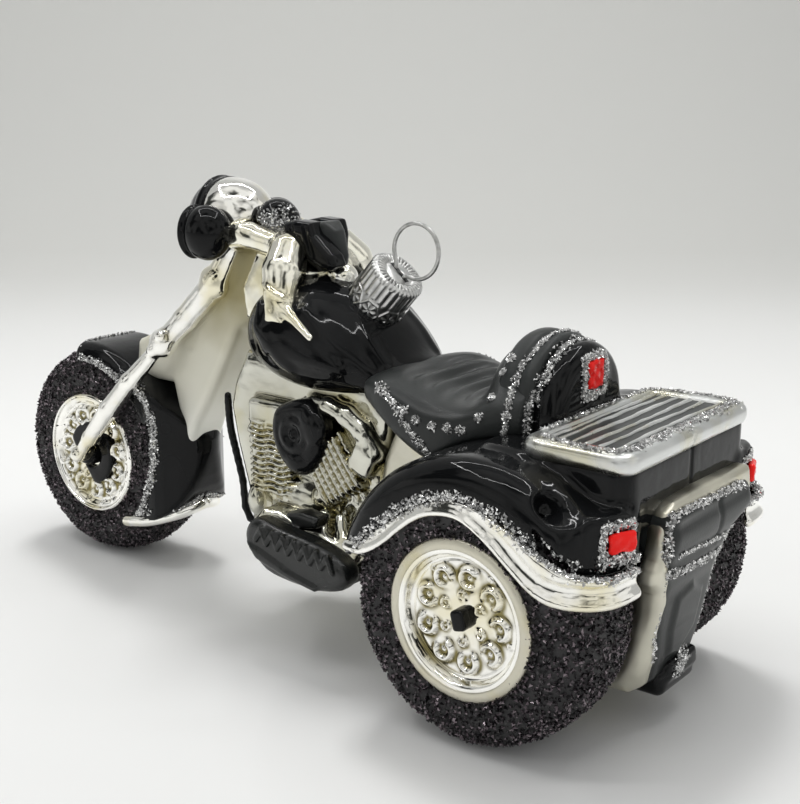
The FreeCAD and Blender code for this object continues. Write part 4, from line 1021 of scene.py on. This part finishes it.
def tyre_crumbs(name, radius, y0, y1, soft, axle, count, seed):
    """Coarse glitter all over a tyre's outside."""
    rng = np.random.default_rng(seed)
    profile = np.array(tyre_profile(radius, y0, y1, soft))
    seg = np.diff(profile, axis=0)
    length = np.linalg.norm(seg, axis=1)
    weight = length * (profile[:-1, 0] + profile[1:, 0]) / 2
    pick = rng.choice(len(seg), count, p=weight / weight.sum())
    t = rng.random(count)[:, None]
    at = profile[pick] + seg[pick] * t
    normal = np.stack([-seg[pick][:, 1], seg[pick][:, 0]], axis=1) / length[pick][:, None]
    inward = normal[:, 0] * (at[:, 0] - radius * 0.6) + normal[:, 1] * (at[:, 1] - (y0 + y1) / 2) < 0
    normal = normal * np.where(inward, -1, 1)[:, None]
    a = rng.random(count) * 2 * math.pi
    pts = np.stack([axle[0] + at[:, 0] * np.cos(a), at[:, 1], axle[1] + at[:, 0] * np.sin(a)], axis=1)
    nor = np.stack([normal[:, 0] * np.cos(a), normal[:, 1], normal[:, 0] * np.sin(a)], axis=1)
    return crumbs(name, pts - nor * SUNK, nor, 0.38, seed + 1, 0.34)


def curls(x, z, radius, count, size, start, high):
    """Height of a ring of C-shaped ridges, each with a knob in the middle and open towards a side of its own."""
    out = 0.0
    for i in range(count):
        t = 2 * math.pi * i / count + start
        dx, dz = x - radius * math.cos(t), z - radius * math.sin(t)
        q = np.sqrt(dx * dx + dz * dz)
        gap = t + 2.4 + 0.7 * math.sin(i * 2.3)
        face = (dx * math.cos(gap) + dz * math.sin(gap)) / np.maximum(q, 1e-3)
        ridge = np.exp(-((q - size) / (size * 0.36)) ** 2) * (1 - 0.85 * fade(face, 0.45, 0.95))
        out = out + high * ridge + high * 0.45 * np.exp(-(q / (size * 0.3)) ** 2)
    return out


# Rings of curls on each wheel: circle radius, count, size, start angle and height.
REAR_CURLS = ((6.1, 9, 1.28, 0.35, 0.85), (3.3, 6, 0.62, 0.5, 0.5), (7.9, 5, 0.34, 0.9, 0.3))
FRONT_CURLS = ((7.3, 11, 1.35, 0.1, 0.85), (4.7, 8, 0.8, 0.4, 0.5), (9.4, 18, 0.5, 0.0, 0.4))


def wheel_face(name, y_out, y_in, axle, edge, dish, rings):
    """Wheel as a height map over radius and angle: outer ring, polished lip, dish and embossed curls."""
    radii = np.concatenate([np.linspace(0.0, edge, 56), np.linspace(edge + 0.12, RIM_R - 0.02, 8)])
    turns, n = 220, len(radii)
    a = ring_angles(turns)[:, None]
    r = radii[None, :]
    lift = -dish + (dish + 0.15) * fade(r, edge - 1.1, edge - 0.2)
    lift = lift - 0.35 * fade(r, edge + 0.25, RIM_R - 0.2) * (1 + 0.3 * np.sin(a * 3 + 1))
    lift = lift - 0.12 * np.exp(-((r - edge + 1.3) / 0.30) ** 2)
    x, z = r * np.cos(a), r * np.sin(a)
    for ring in rings:
        lift = lift + curls(x, z, *ring)
    # Painted shade in the valleys: all over the inner dish, in the band inside the lip only towards the front-bottom
    # and the rear-top, none further out.
    shaded_sides = np.clip(np.cos(2 * (a + math.pi / 4)), 0, 1)
    valley_shade = np.clip((softened(lift, 9, (0, 1)) - lift - 0.01) / SHADE_DEPTH, 0, 1)
    valley_shade = valley_shade * np.where(r < edge - 1.6, 1.0, shaded_sides * (r < edge - 0.7))
    top = np.stack([axle[0] + x, y_out + lift, axle[1] + z], axis=-1).reshape(-1, 3)
    back_x, back_z = axle[0] + RIM_R * np.cos(a[:, 0]), axle[1] + RIM_R * np.sin(a[:, 0])
    low = np.stack([back_x, np.full(turns, y_in), back_z], axis=-1)
    idx = np.arange(turns)
    nxt = (idx + 1) % turns
    base = turns * n
    wall = np.stack([idx * n + n - 1, base + idx, base + nxt, nxt * n + n - 1], axis=1)
    back = np.stack([base + idx, np.full(turns, base + turns), base + nxt, base + nxt], axis=1)
    faces = np.vstack([skin(turns, n, n, 1, False), wall, back])
    obj = solid(name, np.vstack([top, low, [[axle[0], y_in, axle[1]]]]), faces)
    mark(obj, np.concatenate([np.broadcast_to(valley_shade, (turns, n)).ravel(), np.zeros(turns + 1)]))
    return clean(obj)


def wheels():
    """Tyres with their glitter, wheel faces, and the ring of barer glass between each rim and its tyre."""
    rear = (REAR_IN, REAR_OUT, 2.8, REAR_AXLE)
    pair(tyre_ground("rear_tyre_left_ground", REAR_R, *rear), TYRE, "rear_tyre_left")
    pair(tyre_crumbs("rear_tyre_left_glitter", REAR_R - 0.1, *rear, 15000, 11), BLACK_GLITTER)
    front = (-FRONT_HALF, FRONT_HALF, 3.8, FRONT_AXLE)
    dress(tyre_ground("front_tyre_ground", FRONT_R, *front), TYRE, "front_tyre")
    dress(tyre_crumbs("front_tyre_glitter", FRONT_R - 0.1, *front, 14000, 12), BLACK_GLITTER)
    face = wheel_face("rear_wheel_left_glass", REAR_OUT, REAR_IN + 0.4, REAR_AXLE, 9.75, 1.25, REAR_CURLS)
    pair(face, SILVER, "rear_wheel_left")
    face = wheel_face("front_wheel_left_glass", FRONT_HALF, 0.05, FRONT_AXLE, 10.6, 0.50, FRONT_CURLS)
    pair(face, SILVER, "front_wheel", twin_nodes=[])
    for name, axle, y_out, inner, look in (("rear_rim_left_glass", REAR_AXLE, REAR_OUT, 9.95, RIM),
                                           ("front_rim_left_glass", FRONT_AXLE, FRONT_HALF, 10.8, SILVER)):
        ring = ((inner, -0.6), (inner, 0.12), (inner + 0.25, 0.3), (11.2, 0.22), (11.6, -0.1), (11.6, -0.6))
        pair(lathe(name, [(r, y_out + y) for r, y in ring], axle, 160), look)


def hubs():
    """Black rear hub nuts, and the front brake discs with a part cut away."""
    f = Field(-3.2, 3.2, 23.5, 28.0, 15.6, 22.9, 0.2)
    f.add(f.box((0, 25.8, REAR_R), (1.1, 1.0, 1.5), 0.45, lean=15))
    f.keep(0.84 * np.abs(f.x) + 0.54 * np.abs(f.z - REAR_R) - 1.5)
    f.show_pair("rear_hub_left_glass", BLACK, "rear_hub_left")
    f = Field(92.5, 107.5, 5.0, 9.5, 12.5, 27.5, 0.25)
    f.add(edge_round(np.abs(f.wheel(*FRONT_AXLE) - 4.3) - 1.6, np.abs(f.y - 6.8) - 0.55, 0.5))
    f.keep((f.x - FRONT_X) * 0.8 - (f.z - FRONT_R) * 0.6 - 3.2, 0.6)
    f.add(f.rod((FRONT_X, 5.5, FRONT_R), (FRONT_X, 7.4, FRONT_R), 2.2), 0.6)
    f.show_pair("brake_disc_left_glass", BLACK, "brake_disc_left")


wheels()
hubs()


# Cap and ring.
CAP_TILT = math.radians(42.6)
CAP_AXIS = np.array([-math.sin(CAP_TILT), 0, math.cos(CAP_TILT)])
CAP_SIDE = np.array([math.cos(CAP_TILT), 0, math.sin(CAP_TILT)])
CAP_BASE = np.array([36.6, 0, 54.0])
CAP_H, CAP_R = 8.6, 5.0
# Order of a face's corners when it is seen from behind.
TURNED_OVER = [0, 3, 2, 1]


def cap_place(x, y, h):
    """Point at x, y across the cap and h along its axis, as a place on the ornament."""
    across = np.multiply.outer(x, CAP_SIDE) + np.multiply.outer(y, np.array([0, 1.0, 0]))
    return CAP_BASE + across + np.multiply.outer(h, CAP_AXIS)


def turned_rows(name, rows):
    """Closed mesh through rings of (radius per angle, height per angle) about the cap's axis."""
    turns = len(rows[0][0])
    a = ring_angles(turns)
    pts = np.vstack([cap_place(r * np.cos(a), r * np.sin(a), h) for r, h in rows])
    return solid(name, pts, skin(turns, len(rows), 1, turns, True)[:, TURNED_OVER])


def star(u, v, size):
    """Six raised rays from a middle point, falling off at the size."""
    q = np.sqrt(u * u + v * v)
    rays = np.abs(np.cos(3 * np.arctan2(v, u))) ** 4
    return np.where(q < size, rays * np.sqrt(np.maximum(1 - q / size, 0)), 0.0)


def cap_mesh():
    """Stamped cap: hexagon panels with stars on the skirt, flutes above, a knurled top edge."""
    turns, panels = 240, 8
    a = ring_angles(turns)
    rows, valley_shade = [], []
    local = ((a / (2 * math.pi) * panels) % 1.0 - 0.5) * 2 * math.pi * CAP_R / panels
    for h in np.linspace(0.0, CAP_H - 0.9, 56):
        rim = math.exp(-((h - 0.35) / 0.35) ** 2) * 0.25
        upper = fade(np.array(h), 4.2, 4.8)
        v = h - 2.45
        hexa = np.maximum(np.abs(v), np.abs(local) * 0.866 + np.abs(v) * 0.5)
        edge = np.exp(-((hexa - 1.62) / 0.15) ** 2) * 0.22
        rays = star(local, np.full(turns, v), 1.45) * 0.34
        flute = 0.22 * np.abs(np.cos(a * 12)) - 0.12
        rows.append((CAP_R - 0.42 + rim + flute * upper + (edge + rays) * (1 - upper), np.full(turns, h)))
        # Painted shade: in the hexagons round the stars, less outside them, none on the hexagon edges, and further up
        # in the flute and knurl hollows.
        flat = np.where(hexa < 1.5, 1 - np.clip(rays / 0.12, 0, 1), 0.6) * (1 - np.clip(edge / 0.08, 0, 1))
        valley_shade.append(np.clip(flat, 0, 1) * (1 - upper) * 0.8 + upper * np.clip(-flute / 0.1, 0, 1))
    for t in np.linspace(0.15, 1.0, 7):
        turn = t * math.pi / 2
        knurl = 0.12 * np.cos(a * 40)
        radius = CAP_R - 0.35 - 0.75 * (1 - math.cos(turn)) + knurl * (1 - t)
        rows.append((radius, np.full(turns, CAP_H - 0.9 + 0.8 * math.sin(turn))))
        valley_shade.append(np.clip(-knurl / 0.12, 0, 1) * (1 - t))
    # Down over the top to the eye, and back up inside: radius, height under the top, and knurl.
    for r, h, knurl in ((3.85, -0.05, 0.12), (3.6, 0.0, 0.16), (3.1, 0.0, 0.16), (2.7, -0.05, 0.09), (2.45, -0.22, 0.0),
                        (2.2, -0.1, 0.0), (1.9, 0.0, 0.0), (1.0, 0.03, 0.0), (0.02, 0.03, 0.0), (0.02, -0.35, 0.0),
                        (CAP_R - 0.8, -0.45, 0.0), (CAP_R - 0.7, -0.9, 0.0), (CAP_R - 0.7, -CAP_H, 0.0)):
        wave = knurl * np.cos(a * 36)
        rows.append((np.full(turns, r), np.full(turns, CAP_H + h) + wave))
        valley_shade.append(np.clip(-wave / 0.12, 0, 1))
    return clean(mark(turned_rows("cap_metal", rows), np.concatenate(valley_shade)))


def cap_slot():
    """Painted shade of the slot's inside, as a thin dark inlay in the cap's top."""
    corners = ((-1, -1), (1, -1), (1, 1), (-1, 1))
    pts = [cap_place(np.array(x * 2.0), np.array(y * 0.42), np.array(CAP_H - 0.3 + 0.36 * up))
           for up in (0, 1) for x, y in corners]
    faces = [(0, 3, 2, 1), (4, 5, 6, 7), (0, 1, 5, 4), (1, 2, 6, 5), (2, 3, 7, 6), (3, 0, 4, 7)]
    return solid("cap_slot", np.array(pts), np.array(faces))


def neck():
    """The open glass neck under the cap."""
    profile = ((3.95, -4.6), (3.95, -0.5), (4.15, 0.1), (3.95, 0.8), (3.95, 7.3), (3.6, 7.75), (3.1, 7.3), (3.0, -3.4),
               (2.0, -3.6), (0.05, -3.6), (0.05, -4.6))
    return clean(turned_rows("neck_glass", [(np.full(96, r), np.full(96, h)) for r, h in profile]))


def wire():
    """Sprung wire: a ring above the cap, and two legs down into the neck."""
    ring_r, wire_r, around = 4.3, 0.34, 16
    centre = CAP_H + ring_r + 0.55
    leg = [(-2.1, CAP_H - 9.4), (-1.1, CAP_H - 1.4), (-1.1, CAP_H + 0.3)]
    angles = [math.radians(-90 - 24 - (360 - 48) * i / 48) for i in range(49)]
    ring = [(ring_r * math.cos(t), centre + ring_r * math.sin(t)) for t in angles]
    path = np.array(leg + ring + [(-x, h) for x, h in reversed(leg)])
    tangent = np.gradient(path, axis=0)
    tangent /= np.linalg.norm(tangent, axis=1)[:, None]
    t = ring_angles(around)
    rows = []
    for (x, h), (tx, th) in zip(path, tangent):
        rows.append(cap_place(x - th * wire_r * np.cos(t), wire_r * np.sin(t), h + tx * wire_r * np.cos(t)))
    ends = [cap_place(path[0, 0], 0.0, path[0, 1]), cap_place(path[-1, 0], 0.0, path[-1, 1])]
    idx = np.arange(around)
    nxt = (idx + 1) % around
    n = len(rows)
    first, final, last = idx * 0 + n * around, idx * 0 + n * around + 1, (n - 1) * around
    faces = np.vstack([skin(around, n, 1, around, False)[:, TURNED_OVER], np.stack([first, nxt, idx, first], axis=1),
                       np.stack([final, last + idx, last + nxt, final], axis=1)])
    return clean(solid("hanger_wire", np.vstack(rows + [np.array(ends)]), faces))


dress(cap_mesh(), CAP, "cap", body="cap")
# A dark inlay stands in for the shade inside the cap's slot.
dress(cap_slot(), (SATIN_DEEP[0], "stamped_cap"), body="cap")
dress(neck(), CLEAR, "neck")
dress(wire(), WIRE, "hanger", body="cap")


# Silver glitter trims.
def glitter(name, lines, width, targets, seed, dense, size):
    """Silver crumbs strewn along lines given in millimetres, each set down on the nearest of the target pieces."""
    rng = np.random.default_rng(seed)
    depsgraph = bpy.context.evaluated_depsgraph_get()
    trees = [BVHTree.FromObject(bpy.data.objects[target], depsgraph) for target in targets]
    points, normals = [], []
    for line in lines:
        path = np.array(rounded_path(line, 5)) if len(line) > 2 else np.array(line, float)
        step = np.linalg.norm(np.diff(path, axis=0), axis=1)
        reach = np.concatenate([[0], np.cumsum(step)])
        count = max(6, int(reach[-1] * width * dense))
        where = rng.random(count) * reach[-1]
        spots = np.stack([np.interp(where, reach, path[:, k]) for k in range(3)], axis=1)
        away = rng.normal(size=(count, 3))
        away /= np.linalg.norm(away, axis=1)[:, None]
        wander = 1 + 0.25 * np.sin(where * 1.1 + seed)
        spots = spots + away * (width / 2 * np.sqrt(rng.random(count)) * wander)[:, None]
        for spot in spots:
            place = Vector(((spot[0] + REAR_X) * MM, spot[1] * MM, spot[2] * MM))
            found = [tree.find_nearest(place) for tree in trees]
            best = min((hit for hit in found if hit[0] is not None), key=lambda hit: hit[3])
            points.append((best[0].x / MM - REAR_X, best[0].y / MM, best[0].z / MM))
            normals.append(tuple(best[1]))
    return crumbs(name, np.array(points), np.array(normals), size, seed + 1, 0.22)


def trim(name, lines, width, targets, seed, dense=18.0, size=0.31, twin=False):
    """A silver glitter trim, and its mirrored twin where asked for."""
    obj = glitter(name, lines, width, targets, seed, dense, size)
    (pair if twin else dress)(obj, SILVER_GLITTER)


def both_sides(line):
    """A line from the left side over the middle and down the right side."""
    return list(line) + [(x, -y, z) for x, y, z in reversed(line[:-1])]


def frame_lines(corner):
    """The four sides of a frame, from a function that gives the corner on either side, low or high."""
    ring = [corner(side, up) for side, up in ((-1, -1), (-1, 1), (1, 1), (1, -1), (-1, -1))]
    return [[p, q] for p, q in zip(ring[:-1], ring[1:])]


def rear_trims():
    high = rounded_path(LIP_HIGH, 4)
    lip = [(x, y, float(side_height(high, np.array(x))) + 0.5) for x, y in rounded_path(LIP_PLAN + [(-20.9, 14.4)], 3)]
    trim("trim_lip_left", [lip[1:]], 2.4, ["rear_shell", "fender_lip_left_glass"], 21, 19.0, twin=True)
    x, y, z = TAIL_LAMP
    tail = frame_lines(lambda s, up: (x + 0.375 * 2.9 * s, y + 0.927 * 2.9 * s, z + 2.2 * up))
    trim("trim_tail_left", tail, 1.6, ["rear_shell"], 22, 24.0, twin=True)
    lid = ["trunk_lid_glass", "lid_floor"]
    trim("trim_lid_rear", [[(-18.5, 16.4, 44), (-18.6, 0, 44), (-18.5, -16.4, 44)]], 2.7, lid, 23)
    trim("trim_lid_left", [[(-18.4, 17.3, 44), (-12.0, 17.6, 44), (-6.0, 16.2, 44)]], 1.5, lid, 24, 12.0)
    right = [(-18.4, -17.3, 44), (-12.0, -17.6, 44), (-6.0, -16.2, 44), (-4.8, -13, 44), (-4.6, 0, 44), (-4.8, 14, 44)]
    trim("trim_lid_right", [right], 1.3, lid, 25, 10.0)
    left = [(-23.0, 9.4, 35.2), (-23.0, 11.0, 34.2), (-23.0, 11.5, 32.4), (-22.9, 11.8, 30.0), (-22.3, 11.3, 26.8),
            (-21.4, 10.2, 23.2), (-20.8, 9.6, 20.0), (-20.2, 9.0, 16.7), (-19.8, 8.4, 13.5), (-19.4, 7.8, 11.6)]
    top = [(-23.0, 8.6, 35.3), (-23.2, 2.6, 34.8), (-23.2, -4.0, 34.4), (-23.2, -11.0, 33.8)]
    band = [(-22.4, 10.4, 26.4), (-22.6, 2.8, 25.4), (-22.6, -6.6, 24.9)]
    trim("trim_panel", [left, top, band], 1.8, ["rear_panel_glass"], 26)
    right = [(-23.2, -8.6, 28.0), (-22.4, -6.9, 25.5), (-21.2, -7.2, 20.3), (-20.2, -6.9, 16.3), (-19.6, -6.4, 13.1)]
    fine = [(-22.9, 9.1, 29.1), (-22.9, 3.0, 28.5), (-22.9, -3.3, 27.8), (-22.9, -8.0, 27.4)]
    trim("trim_panel_fine", [right, fine], 0.9, ["rear_panel_glass"], 27)
    foot = [[(-19.8, 2.0, 8.4), (-20.2, -1.0, 11.0)], [(-19.6, 0.8, 7.8), (-20.0, -2.0, 10.2)]]
    trim("trim_foot", foot, 1.8, ["rear_panel_glass", "rear_foot_glass"], 28, 24.0, 0.30)


def seat_trims():
    fore = [(2.6, 12.5, 41.4), (2.2, 12.4, 44.2), (2.4, 11.2, 46.5), (2.9, 9.4, 48.2), (2.8, 8.2, 50.2),
            (2.2, 7.3, 51.9), (1.8, 5.9, 53.2), (1.7, 2.9, 54.2), (1.8, 0.0, 54.6)]
    trim("trim_backrest_fore", [both_sides(fore)], 1.2, ["backrest_glass", "seat_glass"], 29, 26.0)
    aft = [(0.6, 10.8, 41.2), (0.1, 10.5, 44.1), (-0.2, 9.8, 45.9), (-0.5, 8.5, 47.8), (-1.0, 7.4, 50.0),
           (-1.2, 5.8, 51.6), (-1.2, 3.4, 52.9), (-1.1, 0.0, 53.6)]
    trim("trim_backrest_aft", [both_sides(aft)], 2.0, ["backrest_glass", "backrest_shell_glass"], 30)
    lamp = frame_lines(lambda s, up: (-5.4, BACK_LAMP[1] + 2.9 * s, BACK_LAMP[2] + 3.0 * up))
    trim("trim_backrest_lamp", lamp, 1.7, ["backrest_shell_glass"], 31, 24.0)
    flank = [(24.8, 13.0, 45.8), (22.5, 13.8, 44.8), (20.4, 14.2, 43.4), (18.4, 14.5, 41.3), (16.6, 14.65, 39.6),
             (14.8, 14.6, 37.9), (13.0, 14.5, 36.2)]
    trim("trim_seat_left", [flank], 1.6, ["seat_glass"], 32, 20.0, twin=True)
    spots = ((18.5, 14.4, 43.1), (16.3, 14.6, 42.0), (13.4, 14.6, 41.6), (10.7, 14.4, 41.7), (8.7, 14.2, 41.6),
             (6.1, 13.6, 43.9), (5.5, 11.6, 46.7), (5.2, 9.0, 49.6), (4.7, 7.7, 51.6))
    studs = [[(x - 0.12, y, z - 0.12), (x + 0.12, y, z + 0.12)] for x, y, z in spots]
    trim("studs_left", studs, 1.25, ["seat_glass", "backrest_glass"], 33, 130.0, 0.32, twin=True)


def front_trims():
    line = [(100.2, 7.8, 38.8), (97.2, 8.2, 38.6), (94.6, 8.3, 38.1), (91.6, 8.3, 37.0), (88.2, 8.4, 35.8),
            (85.0, 8.4, 34.8), (82.6, 8.2, 33.8)]
    skirt = [(82.6, 8.4, 33.8), (81.2, 8.4, 30.9), (80.7, 8.4, 28.2), (80.8, 8.4, 22.5), (82.4, 8.4, 16.9),
             (85.2, 8.4, 11.6)]
    trim("trim_guard_left", [line, skirt], 2.2, ["front_fender_glass"], 34, 19.0, twin=True)
    front = [(100.8, 7.0, 40.4), (101.3, 3.5, 41.0), (101.5, 0.0, 41.2)]
    low_edge = [(87.0, 8.4, 11.0), (83.2, 8.0, 11.9), (80.0, 6.0, 13.0), (78.0, 3.6, 13.6), (76.9, 0.6, 14.6)]
    targets = ["front_fender_glass", "front_fender_lip"]
    trim("trim_guard_low_left", [front, low_edge], 1.4, targets, 35, twin=True)
    pod = [[(54.8, 3.2, 66.0), (53.6, 1.6, 67.6), (52.8, 0.0, 66.4)],
           [(56.6, 3.4, 67.4), (54.6, 3.6, 65.2), (52.8, 2.6, 64.0)]]
    trim("pod_glitter", pod, 4.2, ["instrument_pod_glass"], 36, 15.0)


rear_trims()
seat_trims()
front_trims()

# Stage, light and camera. The sheet and the strips are laid out along the camera's direction in plan.
VIEW_X, VIEW_Y = 0.618, -0.786
SHEET_HALF, BEND_AT, BEND_R, WALL_TOP = 2.5, 0.34, 0.22, 2.2


def stage_sheet():
    """Pale sheet: flat floor that curves up into a wall behind the ornament, darker towards the wall where the camera
    sees it, a painted falloff of light.
    """
    profile = [(-SHEET_HALF, 0.0), (BEND_AT, 0.0)]
    for i in range(1, 13):
        t = math.radians(90 * i / 12)
        profile.append((BEND_AT + BEND_R * math.sin(t), BEND_R - BEND_R * math.cos(t)))
    profile.append((BEND_AT + BEND_R, WALL_TOP))
    verts = []
    for run, height in profile:
        for across in (-SHEET_HALF, SHEET_HALF):
            verts.append((run * VIEW_X - across * VIEW_Y, run * VIEW_Y + across * VIEW_X, height))
    faces = [(2 * i, 2 * i + 1, 2 * i + 3, 2 * i + 2) for i in range(len(profile) - 1)]
    mesh = bpy.data.meshes.new("sheet")
    mesh.from_pydata(verts, [], faces)
    mesh.polygons.foreach_set("use_smooth", [True] * len(faces))
    add_object("sheet", mesh)
    material, tree, p = start_material("sheet", (0.80, 0.80, 0.785), 0.7, spec=0.2)
    along = add_node(tree, "VectorMath", operation="DOT_PRODUCT")
    along.inputs[1].default_value = (VIEW_X, VIEW_Y, 0)
    tree.links.new(add_node(tree, "TexCoord").outputs["Object"], along.inputs[0])
    stops = [(0.20, (0.74, 0.74, 0.728)), (0.50, (0.67, 0.67, 0.656)), (0.80, (0.575, 0.575, 0.552))]
    painted_falloff = ramp(tree, span(tree, along.outputs["Value"], 0.0, 0.5, 0.0, 1.0), stops)
    # The camera sees the painted falloff; other rays see the sheet evenly pale.
    camera_ray = add_node(tree, "LightPath").outputs["Is Camera Ray"]
    tree.links.new(mixed(tree, camera_ray, (0.82, 0.82, 0.805), painted_falloff), p.inputs["Base Color"])
    mesh.materials.append(material)


def sky():
    """Even pale light for plain surfaces. Mirrors see a pale tent with a few dark openings."""
    world = bpy.data.worlds.new("world")
    bpy.context.scene.world = world
    world.use_nodes = True
    tree = world.node_tree
    patch = noise(tree, 2.3, 1.0, 0.4, "Generated")
    tent = ramp(tree, patch, [(0.40, (0.03, 0.032, 0.03)), (0.46, (0.50, 0.50, 0.48)), (0.56, (0.88, 0.88, 0.86))])
    glossy_ray = add_node(tree, "LightPath").outputs["Is Glossy Ray"]
    back = tree.nodes["Background"]
    tree.links.new(mixed(tree, glossy_ray, (0.60, 0.605, 0.61), tent), back.inputs["Color"])
    back.inputs["Strength"].default_value = 1.0


def area(name, place, size, power, rotation, mirrored):
    """Area light. Mirrors show it only where mirrored is true."""
    light = bpy.data.lights.new(name, "AREA")
    light.energy = power
    light.shape = "RECTANGLE"
    light.size, light.size_y = size
    obj = add_object(name, light)
    obj.location = place
    obj.rotation_euler = rotation
    obj.visible_glossy = mirrored


def lights():
    """A frame of thin bright strips overhead draws the fine lines on the glass. Two soft lamps light the rest."""
    centre = Vector((0.03, -0.02, 0.36))
    along, across = Vector((VIEW_X, VIEW_Y, 0)), Vector((-VIEW_Y, VIEW_X, 0))
    for name, out, run, length in (("strip_far", along * 0.13, across, 0.34),
                                   ("strip_near", along * -0.13, across, 0.34),
                                   ("strip_left", across * 0.17, along, 0.26),
                                   ("strip_right", across * -0.17, along, 0.26)):
        area(name, centre + out, (length, 0.005), 0.17, (0, 0, math.atan2(run.y, run.x)), True)
    for name, place, size, power in (("key", (0.15, -0.16, 0.64), 0.15, 1.7),
                                     ("front", (0.10, 0.50, 0.42), 0.10, 0.14)):
        aim = (Vector((0, 0, 0.03)) - Vector(place)).to_track_quat("-Z", "Y").to_euler()
        area(name, place, (size, size), power, aim, False)


def camera():
    """Camera at the photograph's viewing angle."""
    data = bpy.data.cameras.new("camera")
    data.lens, data.sensor_width = 59.0, 36.0
    data.clip_start, data.clip_end = 0.005, 20.0
    cam = add_object("camera", data)
    cam.location = (-0.0954 + REAR_X * MM, 0.1604, 0.0913)
    cam.rotation_mode = "QUATERNION"
    cam.rotation_quaternion = Vector((0.599, -0.762, -0.246)).to_track_quat("-Z", "Y")
    bpy.context.scene.camera = cam


stage_sheet()
sky()
lights()
camera()
bpy.context.scene.view_settings.view_transform = "Standard"
